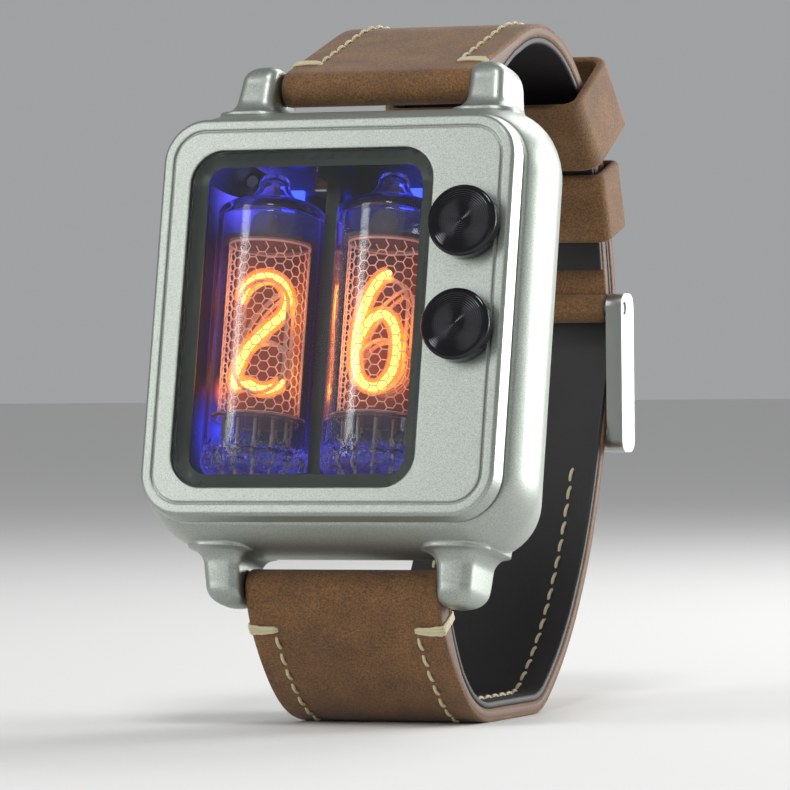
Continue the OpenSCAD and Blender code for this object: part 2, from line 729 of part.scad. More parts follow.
module inner_frame() {
  color([0.07, 0.07, 0.08]) head() difference() {
    translate([0, 0, frame_low_z]) slab(2 * frame_x, 2 * frame_y, pocket_r - slip, frame_top_z - frame_low_z);
    corners(corner_x, corner_y) translate([0, 0, frame_low_z - 1]) cylinder(r = boss_r + 0.9, h = 20);
    for (x = [tube_left_x, tube_right_x]) {
      translate([x, frame_y - cradle_end, -tube_d]) rotate([90, 0, 0])
        cylinder(r = tube_r + cradle_gap, h = 2 * (frame_y - cradle_end));
      translate([x - tube_r - cradle_gap, cradle_end - frame_y, -tube_d])
        cube([2 * (tube_r + cradle_gap), 2 * (frame_y - cradle_end), tube_d]);
      translate([x - lead_ring - 0.5, -tube_foot - lead_out - lead_row - 0.35, frame_low_z - 1])
        cube([2 * lead_ring + 1, 4, tube_r]);
    }
    translate([rail - frame_x, -bay_y, -tube_d]) cube([bay_left - 2 * rail + frame_x, 2 * bay_y, tube_d]);
    translate([tube_left_x - 3, -bay_y, frame_low_z - 1]) cube([tube_right_x - tube_left_x + 6, 2 * bay_y, 3]);
    difference() {
      translate([bay_left, -bay_y, frame_low_z - 1]) cube([bay_right - bay_left, 2 * bay_y, 20]);
      for (y = [button_board_y, button_board_y + button_board_h - rail])
        translate([bay_left - rail, y, frame_low_z - 2]) cube([frame_x, rail, button_board_z - frame_low_z + 1.98]);
    }
    translate([button_x - button_board_w / 2 - slip, button_board_y - slip, button_board_z])
      cube([frame_x, button_board_h + 2 * slip, 20]);
    translate([-frame_x - 1, 7.9 - frame_y, frame_low_z - 1]) cube([rail + 1.4, 2 * (frame_y - 7.9), 3]);
    posts() translate([0, 0, frame_low_z - 1]) cylinder(r = post_r + screw_gap, h = post_l + 1.1);
    led_blocks(slip);
  }
}

module main_board() {
  color([0.06, 0.07, 0.1]) head() difference() {
    translate([0, 0, main_board_z]) slab(2 * frame_x, 2 * frame_y, pocket_r - slip, board_t);
    corners(corner_x, corner_y) translate([0, 0, main_board_z - 1]) cylinder(r = boss_r + 0.9, h = 4);
    posts() translate([0, 0, main_board_z - 1]) cylinder(r = post_r + slip, h = 4);
  }
}

module board_screws() {
  head_r = 0.95;
  head_t = 0.5;
  color([0.6, 0.6, 0.62]) head() posts() {
    translate([0, 0, main_board_z - head_t]) cylinder(r = head_r, h = head_t);
    translate([0, 0, main_board_z]) cylinder(r = post_r, h = board_t + post_l);
  }
}

// What stands in the bay under the buttons, between the two bars that carry the button board
bay_x = (bay_left + bay_right) / 2;
bar_above_y = button_board_y + rail;
coil_r = 2.5;

module board_chips() {
  color([0.12, 0.12, 0.13]) head() translate([0, 0, frame_low_z]) {
    translate([bay_x - 2.5, 0.15 - bay_y, 0]) cube([5, 3.4, 0.9]);
    translate([tube_mid_x - 1.3, tube_top - 3.4, 0]) cube([2.6, 2.4, 1.6]);
    for (i = [0 : 5]) translate([tube_mid_x - 0.6, tube_top - 6.7 - 3.6 * i, 0]) cube([1.2, 2, 0.6]);
    for (i = [0 : 2]) translate([bay_x - 2.3 + 1.8 * i, bar_above_y + 16.3, 0]) cube([0.9, 1.6, 0.6]);
  }
}

module hv_converter() {
  can_r = 2.1;
  color([0.2, 0.2, 0.22]) head() translate([0, 0, frame_low_z]) {
    translate([bay_x, button_board_y - 0.2 - coil_r, 0]) cylinder(r = coil_r, h = 3);
    translate([bay_x, bar_above_y + 6.3, can_r]) rotate([90, 0, 0]) cylinder(r = can_r, h = 6);
    translate([bay_x - 1.6, bar_above_y + 6.9, 0]) cube([3.2, 4.2, 1.2]);
    translate([bay_x - 1.6, bar_above_y + 11.7, 0]) cube([3.2, 4, 2]);
  }
}

module blue_leds() {
  color([0.35, 0.45, 1]) head() led_blocks(0);
}

module battery_pad() {
  color([0.75, 0.73, 0.68]) head() translate([-cell_w / 2, -cell_h / 2, main_board_z - pad_t])
    cube([cell_w, cell_h, pad_t]);
}

module battery() {
  color([0.72, 0.73, 0.75]) head() translate([0, 0, cell_z])
    slab(cell_w, cell_h, 1, cell_t);
}

// ---------- nixie tubes ----------

module on_tube(x) {
  head() translate([x, 0, -tube_d]) rotate([-90, 0, 0]) children();
}

shoulder_h = 2.6;
tip_r = 1.3;
nipple_h = 2.4;

// Outline of the envelope, radius against height, with a domed shoulder and a drawn-off tip
function envelope(r, top, foot) = concat(
  [[0, foot], [r, foot], [r, top - nipple_h - shoulder_h]],
  [for (a = [15 : 15 : 75]) [tip_r + (r - tip_r) * cos(a), top - nipple_h - shoulder_h + shoulder_h * sin(a)]],
  [[tip_r, top - nipple_h], [0.5 * tip_r, top - 0.4], [0, top]]);

module tube_glass(x) {
  color([0.8, 0.86, 0.95, 0.35]) on_tube(x) difference() {
    rotate_extrude() polygon(envelope(tube_r, tube_top, -tube_foot));
    rotate_extrude() polygon(envelope(tube_r - tube_wall, tube_top - 1.6, -tube_foot + 2.4));
    for (i = [0 : lead_n - 1]) rotate([0, 0, -lead_angle(i)]) translate([lead_ring, 0, -tube_foot - 1])
      cylinder(r = lead_r + screw_gap, h = 5);
  }
}

module tube_glass_left() { tube_glass(tube_left_x); }
module tube_glass_right() { tube_glass(tube_right_x); }

mesh_t = 0.15;
mesh_pitch = 2.2;
mesh_web = 0.34;

// Woven-looking anode: a thin sleeve with rows of six-sided holes round its front half
module anode_mesh(x) {
  rows = floor((anode_top + anode_foot) / mesh_pitch) - 1;
  step = 360 * mesh_pitch * cos(30) / (2 * PI * anode_r);
  cols = floor(75 / step);
  color([0.75, 0.6, 0.5]) on_tube(x) difference() {
    translate([0, 0, -anode_foot]) cylinder(r = anode_r, h = anode_top + anode_foot);
    translate([0, 0, -anode_foot - 1]) cylinder(r = anode_r - mesh_t, h = anode_top + anode_foot + 2);
    for (c = [-cols : cols], r = [0 : rows])
      rotate([0, 0, -90 + c * step])
        translate([0, 0, -anode_foot + mesh_pitch * (r + 0.75 + 0.5 * (abs(c) % 2))]) rotate([0, 90, 0])
          cylinder(r = (mesh_pitch - mesh_web) / 2 / cos(30), h = 2 * anode_r, $fn = 6);
  }
}

module anode_mesh_left() { anode_mesh(tube_left_x); }
module anode_mesh_right() { anode_mesh(tube_right_x); }

// A ring drawn as a wire in the numeral's plane
module wire_ring(r, w) {
  difference() {
    circle(r);
    circle(r - w);
  }
}

digit_mid = -0.9;

module two_shape() {
  r = digit_w / 2;
  top = digit_h / 2 - r;
  intersection() {
    translate([0, top]) wire_ring(r, digit_wire);
    polygon([[0, top], [-r - 1, top + 0.6], [-r - 1, top + r + 1], [r + 1, top + r + 1], [r + 1, top - r], [2, top - 0.9 * r]]);
  }
  hull_line([r * 0.75, top - r * 0.62], [-r, -digit_h / 2 + digit_wire]);
  translate([-r, -digit_h / 2]) square([2 * r, digit_wire]);
}

// A straight wire from a to b
module hull_line(a, b) {
  d = b - a;
  translate(a) rotate(atan2(d[1], d[0])) translate([-digit_wire / 4, -digit_wire / 2])
    square([norm(d) + digit_wire / 2, digit_wire]);
}

module six_shape() {
  r = digit_w / 2;
  translate([0, -digit_h / 2 + r]) wire_ring(r, digit_wire);
  big = digit_h - r;
  intersection() {
    translate([big - r, -digit_h / 2 + r]) wire_ring(big, digit_wire);
    translate([-r, -digit_h / 2 + r]) square([1.7 * r, digit_h - r]);
  }
}

module digit_plate(x, y) {
  on_tube(x) rotate([90, 0, 0]) translate([0, digit_mid, y]) linear_extrude(0.25) children();
}

lit_z = 1.6;

module lit_digit_left() { color([1, 0.55, 0.15]) digit_plate(tube_left_x, lit_z) two_shape(); }
module lit_digit_right() { color([1, 0.55, 0.15]) digit_plate(tube_right_x, lit_z) six_shape(); }

module zero_shape() {
  r = digit_w / 2;
  difference() {
    rounded(digit_w, digit_h, r - 0.01);
    rounded(digit_w - 2 * digit_wire, digit_h - 2 * digit_wire, r - digit_wire - 0.01);
  }
}

module cathode_stack(x) {
  color([0.5, 0.4, 0.35]) for (i = [0 : 3]) digit_plate(x, lit_z - 0.9 * (i + 1)) {
    if (i % 2 == 0) zero_shape(); else six_shape();
  }
}

module cathode_stack_left() { cathode_stack(tube_left_x); }
module cathode_stack_right() { cathode_stack(tube_right_x); }

spacer_t = 0.5;

// Mica discs above and below the anode, with the round getter plate on its post
module tube_spacers(x) {
  getter_r = 1.7;
  post_l = 1.55;
  color([0.8, 0.78, 0.74]) on_tube(x) {
    translate([0, 0, anode_top + 0.05]) cylinder(r = tube_r - tube_wall - 0.2, h = spacer_t);
    translate([0, 0, -anode_foot - 0.05 - spacer_t]) cylinder(r = tube_r - tube_wall - 0.2, h = spacer_t);
    translate([0, -2, anode_top + 0.05 + spacer_t]) cylinder(r = 0.2, h = post_l);
    translate([0, -1.8, anode_top + 0.05 + spacer_t + post_l]) rotate([90, 0, 0]) cylinder(r = getter_r, h = 0.3);
  }
}

module tube_spacers_left() { tube_spacers(tube_left_x); }
module tube_spacers_right() { tube_spacers(tube_right_x); }

lead_n = 12;
lead_r = 0.2;
lead_out = 0.7;
lead_row = 0.9;
function lead_angle(i) = 360 * (i + 0.35) / lead_n;

module tube_leads(x) {
  color([0.7, 0.6, 0.5]) head() for (i = [0 : lead_n - 1]) {
    a = lead_angle(i);
    px = x + lead_ring * cos(a);
    pz = -tube_d + lead_ring * sin(a);
    out = -tube_foot - lead_out - (i < lead_n / 2 ? lead_row : 0);
    translate([px, out, pz]) rotate([-90, 0, 0])
      cylinder(r = lead_r, h = -anode_foot - spacer_t - 0.1 - out);
    translate([px, out, main_board_z + board_t]) cylinder(r = lead_r, h = pz - main_board_z - board_t);
  }
}

module tube_leads_left() { tube_leads(tube_left_x); }
module tube_leads_right() { tube_leads(tube_right_x); }

// ---------- spring bars ----------

barrel_l = lug_gap - 2 * slip;
tip_in = 4;

module on_bar(j) {
  head() translate([0, j * bar_y, -bar_d]) rotate([0, 90, 0]) children();
}

module spring_bar(j) {
  color([0.7, 0.7, 0.72]) on_bar(j) difference() {
    union() {
      translate([0, 0, -barrel_l / 2]) cylinder(r = bar_r, h = barrel_l);
    }
    for (i = [0, 1]) mirror([0, 0, i]) translate([0, 0, barrel_l / 2 - tip_in - bar_travel - 0.3])
      cylinder(r = bar_tip_r + run_gap, h = 12);
  }
}

module spring_bar_upper() { spring_bar(1); }
module spring_bar_lower() { spring_bar(-1); }

module bar_tip(i, j) {
  color([0.6, 0.6, 0.62]) on_bar(j) mirror([0, 0, i > 0 ? 0 : 1])
    translate([0, 0, barrel_l / 2 - tip_in]) cylinder(r = bar_tip_r, h = tip_in + slip + bar_travel - 0.15);
}

module bar_tip_upper_left() { bar_tip(-1, 1); }
module bar_tip_upper_right() { bar_tip(1, 1); }
module bar_tip_lower_left() { bar_tip(-1, -1); }
module bar_tip_lower_right() { bar_tip(1, -1); }

// ---------- strap ----------

taper_start = 14;
taper_end = 62;

function travelled(path, i) = i == 0 ? 0 : travelled(path, i - 1) + gap_of(path[i - 1], path[i]);
function taper(s) = strap_w + (strap_end_w - strap_w) * min(1, max(0, (s - taper_start) / (taper_end - taper_start)));

// The place at a length s along a path
function along(path, s, i = 1, done = 0) =
  let (l = gap_of(path[i - 1], path[i]))
  s <= done + l || i == len(path) - 1
    ? path[i - 1] + (path[i] - path[i - 1]) * (s - done) / l
    : along(path, s, i + 1, done + l);

// The leather is doubled at the fold and skived down from there
skive_l = 13;
function leather_at(s) = leather_t + (2 * fold_r - strap_t) * max(0, 1 - s / skive_l);

// A band swept along a path, lying to one side of it from depth tops[i] to depth lows[i], edges eased
module band(path, widths, tops, lows, side = 1) {
  n = len(path);
  rings = [for (i = [0 : n - 1])
    let (q = path[i], w = widths[i] / 2, a = tops[i], b = lows[i], ease = 0.3 * (b - a),
         s = -side * sin(q[2]), c = side * cos(q[2]),
         cut = [[w - ease, a], [w, a + ease], [w, b - ease], [w - ease, b]],
         all = concat(cut, [for (k = [3 : -1 : 0]) [-cut[k][0], cut[k][1]]]))
    for (m = all) [m[0], q[0] + s * m[1] - flat_mid, q[1] + c * m[1] - flat_up]];
  sides = [for (i = [0 : n - 2], k = [0 : 7])
    let (p = 8 * i + k, r = 8 * i + (k + 1) % 8)
    for (t = (side > 0 ? [[p, r, r + 8], [p, r + 8, p + 8]] : [[p, r + 8, r], [p, p + 8, r + 8]])) t];
  first = [for (k = [1 : 6]) side > 0 ? [0, k + 1, k] : [0, k, k + 1]];
  e = 8 * (n - 1);
  last = [for (k = [1 : 6]) side > 0 ? [e, e + k, e + k + 1] : [e, e + k + 1, e + k]];
  polyhedron(points = rings, faces = concat(sides, first, last), convexity = 8);
}

upper_n = len(upper_path);
upper_s = [for (i = [0 : upper_n - 1]) travelled(upper_path, i)];
upper_widths = [for (s = upper_s) taper(s)];
nose_l = 8;
lower_n = len(lower_path);
lower_s = [for (i = [0 : lower_n - 1]) travelled(lower_path, i)];
lower_l = lower_s[lower_n - 1];
// The strap's tip narrows like the end of an ellipse
function nose(s) = s < lower_l - nose_l ? 1 : 0.45 + 0.55 * sqrt(max(0, 1 - pow((s - lower_l + nose_l) / nose_l, 2)));
lower_widths = [for (s = lower_s) taper(s) * nose(s)];

module leather_band(path, lengths, widths, side) {
  band(path, widths, [for (s = lengths) 0], [for (s = lengths) leather_at(s)], side);
}

// The lining stops short of the fold, and of the other end by skip points
module lining_band(path, lengths, widths, skip, side) {
  keep = [for (i = [0 : len(path) - 1 - skip]) if (lengths[i] > lining_start) i];
  band([for (i = keep) path[i]], [for (i = keep) widths[i]],
       [for (i = keep) leather_at(lengths[i]) + lining_gap],
       [for (i = keep) leather_at(lengths[i]) + lining_t], side);
}

module bar_bore(p, r) {
  translate([-30, p[0] - flat_mid, p[1] - flat_up]) rotate([0, 90, 0]) cylinder(r = r, h = 60);
}

module bar_fold(p, r, w) {
  translate([-w / 2, p[0] - flat_mid, p[1] - flat_up]) rotate([0, 90, 0]) cylinder(r = r, h = w);
}

leather = [0.4, 0.28, 0.16];
// The folds lie a hair inside the strap's faces
fold_tuck = 0.03;

module strap_upper() {
  color(leather) difference() {
    union() {
      leather_band(upper_path, upper_s, upper_widths, -1);
      bar_fold(upper_bar, fold_r - fold_tuck, strap_w);
      bar_fold(buckle_at, buckle_fold_r, strap_end_w);
    }
    bar_bore(upper_bar, bar_r + run_gap);
    bar_bore(buckle_at, buckle_bar_r + run_gap);
    tongue_notch();
  }
}

module lining_upper() {
  color([0.08, 0.07, 0.07]) lining_band(upper_path, upper_s, upper_widths, 3, -1);
}

lining_start = 4.5;
lining_gap = 0.02;

module strap_lower() {
  color(leather) difference() {
    union() {
      leather_band(lower_path, lower_s, lower_widths, 1);
      bar_fold(lower_bar, fold_r - fold_tuck, strap_w);
    }
    bar_bore(lower_bar, bar_r + run_gap);
    strap_holes();
    tongue_slot();
  }
}

module lining_lower() {
  color([0.08, 0.07, 0.07]) difference() {
    lining_band(lower_path, lower_s, lower_widths, 0, 1);
    strap_holes();
    tongue_slot();
  }
}

// Round adjusting holes down the middle of the long end
hole_r = 1;
hole_pitch = 6.5;
hole_first = 12;
module strap_holes() {
  for (i = [0 : 1]) at_path(along(lower_path, lower_l - hole_first - hole_pitch * i)) rotate([90, 0, 0])
    translate([0, 0, -6]) cylinder(r = hole_r, h = 12);
}

// ---------- buckle ----------

// The frame hangs straight down from its bar: its x runs down to the front bar, its y outwards
module on_buckle() {
  at_path([buckle_at[0], buckle_at[1], -90]) children();
}

rail_in = 1.1;
rail_top = 1.8;
rail_r = 1.5;
front_r = 1.25;
front_y = 1.5;
frame_in = strap_end_w + 0.8;
frame_out = frame_in + 2 * buckle_t;
tongue_gap = 0.3;
tongue_eye_r = buckle_bar_r + 0.8;
// The tongue is outside the strap this far below the bar
tongue_out = 8.8;

module tongue_notch() {
  on_buckle() translate([-tongue_eye_r - tongue_gap, -4, -tongue_w / 2 - tongue_gap])
    cube([8, 8, tongue_w + 2 * tongue_gap]);
}

module tongue_slot() {
  on_buckle() translate([-0.6, -3, -tongue_w / 2 - tongue_gap]) cube([tongue_out + 0.6, 9, tongue_w + 2 * tongue_gap]);
}

module buckle_frame() {
  rail_l = rail_top + buckle_l + front_r;
  color([0.7, 0.71, 0.7]) on_buckle() difference() {
    union() {
      for (i = [-1, 1])
        translate([rail_l / 2 - rail_top, buckle_rail / 2 - rail_in, i * (frame_in + buckle_t) / 2 - buckle_t / 2])
          slab(rail_l, buckle_rail, rail_r, buckle_t);
      translate([buckle_l, front_y, -frame_out / 2 + 0.5]) cylinder(r = front_r, h = frame_out - 1);
    }
    translate([0, 0, -frame_out]) cylinder(r = buckle_bar_r + 0.02, h = 2 * frame_out);
  }
}

module buckle_bar() {
  color([0.7, 0.7, 0.72]) on_buckle() translate([0, 0, 0.2 - frame_out / 2])
    cylinder(r = buckle_bar_r, h = frame_out - 0.4);
}

// The tongue leaves the bar through the strap, then lies along it and rests on the front bar
module buckle_tongue() {
  low = front_y + front_r + 0.03;
  top = low + 0.9;
  color([0.7, 0.71, 0.7]) on_buckle() translate([0, 0, -tongue_w / 2]) difference() {
    union() {
      cylinder(r = tongue_eye_r, h = tongue_w);
      linear_extrude(tongue_w) polygon([[0.1, 1.5], [3, top - 0.3], [5.6, top], [buckle_l + 1.4, top - 0.1],
        [buckle_l + 1.7, low + 0.3], [buckle_l + 1.5, low], [6, low], [3.4, low - 0.6], [1.2, 0.7]]);
    }
    translate([0, 0, -1]) cylinder(r = buckle_bar_r + run_gap, h = tongue_w + 2);
  }
}

// ---------- keepers ----------

keeper_gap = 0.25;
keeper_fixed_s = 55.3;
keeper_free_s = 44.3;
keeper_free_w = keeper_w + 1.8;
free_tilt = 14;
free_under = 2.3;

// A loop round both straps, its hole from depth low to height high of the upper strap's outer face.
// Its panels are tilted, and its ends are square to the strap
module keeper(s, w, low, high, tilt, corner) {
  in_w = strap_end_w + 1.2;
  color(leather) at_path(along(upper_path, s)) intersection() {
    rotate([0, 0, tilt]) translate([-w, (high - low) / 2, 0])
      rotate([0, 90, 0]) linear_extrude(2 * w) difference() {
        rounded(in_w + 2 * keeper_t, high + low + 2 * keeper_t, corner + keeper_t);
        rounded(in_w, high + low, corner);
      }
    translate([-w / 2, -in_w, -in_w]) cube([w, 2 * in_w, 2 * in_w]);
  }
}

module keeper_fixed() {
  keeper(keeper_fixed_s, keeper_w, strap_t + keeper_gap, strap_t + tail_gap + keeper_gap, 0, 0.3);
}

module keeper_free() {
  keeper(keeper_free_s, keeper_free_w, strap_t + free_under, strap_t + tail_gap + keeper_slack, free_tilt, 1.2);
}

// ---------- stitching ----------

thread_r = 0.25;
stitch_inset = 2.9;
tack_w = 0.9;
tack_l = 3.9;
tack_t = 0.3;
tack_side = strap_side - 0.08;
tack_s_upper = 3;
tack_s_lower = 4.7;

// A thread laid over the strap's edge, from its outer face round to its inner face
module tack(path, s, side) {
  q = along(path, s);
  w = taper(s) / 2;
  t = leather_at(s - tack_w / 2) + (s > lining_start ? lining_t : 0);
  at_path(q) for (i = [0, 1]) mirror([0, 0, i]) difference() {
    translate([-tack_w / 2, side > 0 ? -tack_t : -t - tack_t, w - tack_l])
      cube([tack_w, t + 2 * tack_t, tack_l + tack_side]);
    translate([-tack_w, side > 0 ? -0.02 : -t - 0.02, w - tack_l - 1]) cube([2 * tack_w, t + 0.04, tack_l + 1.02]);
  }
}

// Two rows of stitches, at a height above the strap's outer face
module stitch_rows(path, from, to, height, side) {
  n = floor((to - from) / stitch_pitch);
  for (k = [0 : n]) {
    s = from + k * stitch_pitch;
    q = along(path, s);
    for (i = [-1, 1]) at_path(q)
      translate([-0.35 * stitch_pitch, -side * height, i * (taper(s) / 2 - stitch_inset)])
        rotate([0, 90, 0]) cylinder(r = thread_r, h = 0.7 * stitch_pitch);
  }
}

thread_up = thread_r + 0.02;
// The free keeper covers the strap's outside this far before its middle
keeper_reach = 13;
inner_from = skive_l + 1;
buckle_s = flat_s + flat_l + 40;

module stitches_upper() {
  color([0.85, 0.8, 0.68]) {
    tack(upper_path, tack_s_upper, -1);
    stitch_rows(upper_path, tack_s_upper + 2, keeper_free_s - keeper_reach, thread_up, -1);
  }
}

module stitches_lower() {
  color([0.85, 0.8, 0.68]) {
    tack(lower_path, tack_s_lower, 1);
    stitch_rows(lower_path, tack_s_lower + 2, flat_s - 4.5, thread_up, 1);
    stitch_rows(lower_path, flat_s + flat_l + 4, buckle_s, thread_up, 1);
    stitch_rows(lower_path, inner_from, buckle_s, -strap_t - thread_up, 1);
  }
}

case_body();
bezel();
bezel_gasket();
bezel_screws();
window_glass();
window_mask();
window_adhesive();
case_back();
back_gasket();
back_screws();
button_upper();
button_lower();
button_clip_upper();
button_clip_lower();
button_spring_upper();
button_spring_lower();
button_seals();
switch_bodies();
switch_plunger_upper();
switch_plunger_lower();
button_board();
inner_frame();
main_board();
board_screws();
board_chips();
hv_converter();
blue_leds();
battery();
battery_pad();
tube_glass_left();
tube_glass_right();
anode_mesh_left();
anode_mesh_right();
lit_digit_left();
lit_digit_right();
cathode_stack_left();
cathode_stack_right();
tube_spacers_left();
tube_spacers_right();
tube_leads_left();
tube_leads_right();
spring_bar_upper();
spring_bar_lower();
bar_tip_upper_left();
bar_tip_upper_right();
bar_tip_lower_left();
bar_tip_lower_right();
strap_upper();
lining_upper();
strap_lower();
lining_lower();
stitches_upper();
stitches_lower();
keeper_fixed();
keeper_free();
buckle_frame();
buckle_bar();
buckle_tongue();
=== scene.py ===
"""Looks of a nixie tube wristwatch that stands on its buckled strap.

Lengths are in millimetres until a mesh is made, and then in metres. Two frames are used: the
part's own frame (x right, y back, z up), and the head's (x right, y up the face, z out of it).
"""

import bmesh
import bpy
import numpy as np
from mathutils import Matrix, Vector


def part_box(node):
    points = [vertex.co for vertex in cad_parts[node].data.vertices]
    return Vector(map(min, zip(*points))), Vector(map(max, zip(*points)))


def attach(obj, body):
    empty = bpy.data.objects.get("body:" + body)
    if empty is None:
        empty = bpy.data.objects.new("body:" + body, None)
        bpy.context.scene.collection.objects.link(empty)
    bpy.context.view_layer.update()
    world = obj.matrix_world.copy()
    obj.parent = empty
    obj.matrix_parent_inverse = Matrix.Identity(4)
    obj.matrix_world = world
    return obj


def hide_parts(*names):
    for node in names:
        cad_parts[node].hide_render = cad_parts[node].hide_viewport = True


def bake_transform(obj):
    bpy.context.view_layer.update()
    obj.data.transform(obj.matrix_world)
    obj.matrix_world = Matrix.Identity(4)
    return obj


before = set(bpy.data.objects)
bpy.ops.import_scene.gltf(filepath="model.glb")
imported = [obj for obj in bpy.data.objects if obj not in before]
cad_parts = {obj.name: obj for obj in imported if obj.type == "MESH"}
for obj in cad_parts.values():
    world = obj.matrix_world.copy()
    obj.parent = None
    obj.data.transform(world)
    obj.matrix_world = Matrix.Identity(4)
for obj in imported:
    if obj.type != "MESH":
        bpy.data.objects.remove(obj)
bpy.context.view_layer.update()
MM = 0.001


# ---------- camera ----------
# A long lens a little to the right of the watch and nearly level with it. Its place, turn and
# length put the corners of the case's face where the photograph shows them.

# Places and the nearest distance drawn are in mm, and LENS_PX is the focal length in pixels
EYE = np.array([277.6, -694.2, 45.55])
AIM = np.array([7.22, -25.17, 38.02])
ROLL = np.radians(0.613)
LENS_PX = 6390.15
PHOTO_PX = 790
SENSOR = 36.0
NEAREST = 10


def placed(name, data):
    """A new object of the scene that holds this data."""
    thing = bpy.data.objects.new(name, data)
    bpy.context.scene.collection.objects.link(thing)
    return thing


camera = placed("camera", bpy.data.cameras.new("camera"))
bpy.context.scene.camera = camera
camera.data.sensor_width = SENSOR
camera.data.lens = SENSOR * LENS_PX / PHOTO_PX
camera.data.clip_start = NEAREST * MM
look = Vector(AIM - EYE).to_track_quat("-Z", "Y").to_matrix().to_4x4()
camera.matrix_world = Matrix.Translation(Vector(EYE * MM)) @ look @ Matrix.Rotation(-ROLL, 4, "Z")


# ---------- bead-blasted aluminium: case, bezel and back ----------
# The case is milled from one block of aluminium with its lugs, blasted with glass beads and clear
# anodised. The bezel and the back are finished in the same way and screwed to it.
def linear(colour):
    """sRGB hex to linear RGBA: c/12.92 below 0.04045, else ((c + 0.055) / 1.055) ** 2.4."""
    c = np.array([int(colour[i:i + 2], 16) for i in (1, 3, 5)]) / 255
    c = np.where(c <= 0.04045, c / 12.92, ((c + 0.055) / 1.055) ** 2.4)
    return (*c.tolist(), 1.0)


def add_node(mat, kind, inputs=None, **settings):
    """Adds a node. An input given a socket is linked to it, and any other value is set."""
    node = mat.node_tree.nodes.new("ShaderNode" + kind)
    for key, value in settings.items():
        setattr(node, key, value)
    for key, value in (inputs or {}).items():
        if isinstance(value, bpy.types.NodeSocket):
            mat.node_tree.links.new(value, node.inputs[key])
        else:
            node.inputs[key].default_value = value
    return node


def shader_of(mat):
    """The material's Principled shader."""
    return mat.node_tree.nodes["Principled BSDF"]


def finish(name, colour, **values):
    """A Principled material of one colour, with these values on its shader's other sockets."""
    mat = bpy.data.materials.new(name)
    mat.use_nodes = True
    for key, value in {"Base_Color": linear(colour), **values}.items():
        shader_of(mat).inputs[key.replace("_", " ")].default_value = value
    return mat


def feed(mat, socket, output):
    """Links a node's output to a socket of the material's shader."""
    mat.node_tree.links.new(output, shader_of(mat).inputs[socket])


def wear(mat, *nodes):
    """Gives these CAD nodes the material."""
    for name in nodes:
        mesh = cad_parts[name].data
        mesh.materials.clear()
        mesh.materials.append(mat)


def blots(mat, size, detail=2.0):
    """Noise from 0 to 1 on object coordinates, in blots of size mm."""
    here = add_node(mat, "TexCoord").outputs["Object"]
    noise = add_node(mat, "TexNoise", {"Vector": here, "Scale": 1 / (size * MM), "Detail": detail})
    return noise.outputs["Fac"]


def mottle(mat, size, dark, light, low=0.35, high=0.65, detail=2.0):
    """Base colour in blots of size mm: dark where the noise is below low, light above high.

    Between the two levels the colours mix evenly. Returns the mixed colour.
    """
    ramp = add_node(mat, "ValToRGB", {"Fac": blots(mat, size, detail)})
    for stop, at, colour in zip(ramp.color_ramp.elements, (low, high), (dark, light)):
        stop.position, stop.color = at, linear(colour)
    feed(mat, "Base Color", ramp.outputs["Color"])
    return ramp.outputs["Color"]


def grain(mat, size, height, detail=2.0, rounding=0.0):
    """A bump of noise: grains of size mm, height mm deep, over edges rounded by rounding mm."""
    relief = {"Height": blots(mat, size, detail), "Distance": height * MM, "Strength": 1.0}
    if rounding:
        relief["Normal"] = add_node(mat, "Bevel", {"Radius": rounding * MM}, samples=6).outputs["Normal"]
    feed(mat, "Normal", add_node(mat, "Bump", relief).outputs["Normal"])


# The beads leave dents about 0.05 mm wide, drawn 0.12 mm wide here so that they show: a soft
# grey-green sheen with a fine sparkle and no tool marks
blasted = finish("bead_blasted_aluminium", "#A9AFA9", Metallic=1.0, Roughness=0.42)
mottle(blasted, 0.13, "#989E98", "#B4BAB3")
grain(blasted, size=0.12, height=0.012, rounding=0.32)
wear(blasted, "bezel", "case_back")

# Points nearer than MERGE are one, and edges that turn by more than SHARP stay sharp
MERGE = 0.0002
SHARP = np.radians(42)


def made(name, shape, mat, body="watch", stands_for=None):
    """A smooth mesh from (points in mm, faces), riding on a body, in the place of a CAD node."""
    points, faces = shape
    mesh = bpy.data.meshes.new(name)
    mesh.from_pydata((np.asarray(points) * MM).tolist(), [], np.asarray(faces).tolist())
    merged = bmesh.new()
    merged.from_mesh(mesh)
    bmesh.ops.remove_doubles(merged, verts=merged.verts, dist=MERGE * MM)
    merged.to_mesh(mesh)
    merged.free()
    mesh.materials.append(mat)
    mesh.polygons.foreach_set("use_smooth", np.ones(len(mesh.polygons), bool))
    mesh.set_sharp_from_angle(angle=SHARP)
    piece = placed(name, mesh)
    if body:
        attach(piece, body)
    if stands_for:
        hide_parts(stands_for)
    return piece


def grid(points, close_rows=False):
    """Quads over a grid of points (row, column, 3) whose columns close round, turned outwards.

    They are turned over where the volume inside, the sum of a . (b x c + c x d) over all quads
    a b c d about the middle, comes out negative.
    """
    rows, columns = points.shape[:2]
    i, j = np.ogrid[:rows if close_rows else rows - 1, :columns]
    k, m = (i + 1) % rows, (j + 1) % columns
    faces = np.broadcast_arrays(i * columns + j, i * columns + m, k * columns + m, k * columns + j)
    flat, faces = points.reshape(-1, 3), np.stack(faces, -1).reshape(-1, 4)
    a, b, c, d = (flat[faces[:, n]] - flat.mean(0) for n in range(4))
    return flat, faces if np.sum(a * (np.cross(b, c) + np.cross(c, d))) > 0 else faces[:, ::-1]


def capped(points):
    """The grid closed at both ends by rings drawn in to the middle of the first and last ones."""
    ends = [np.broadcast_to(r.mean(1, keepdims=True), r.shape) for r in (points[:1], points[-1:])]
    return np.concatenate([ends[0], points, ends[1]])


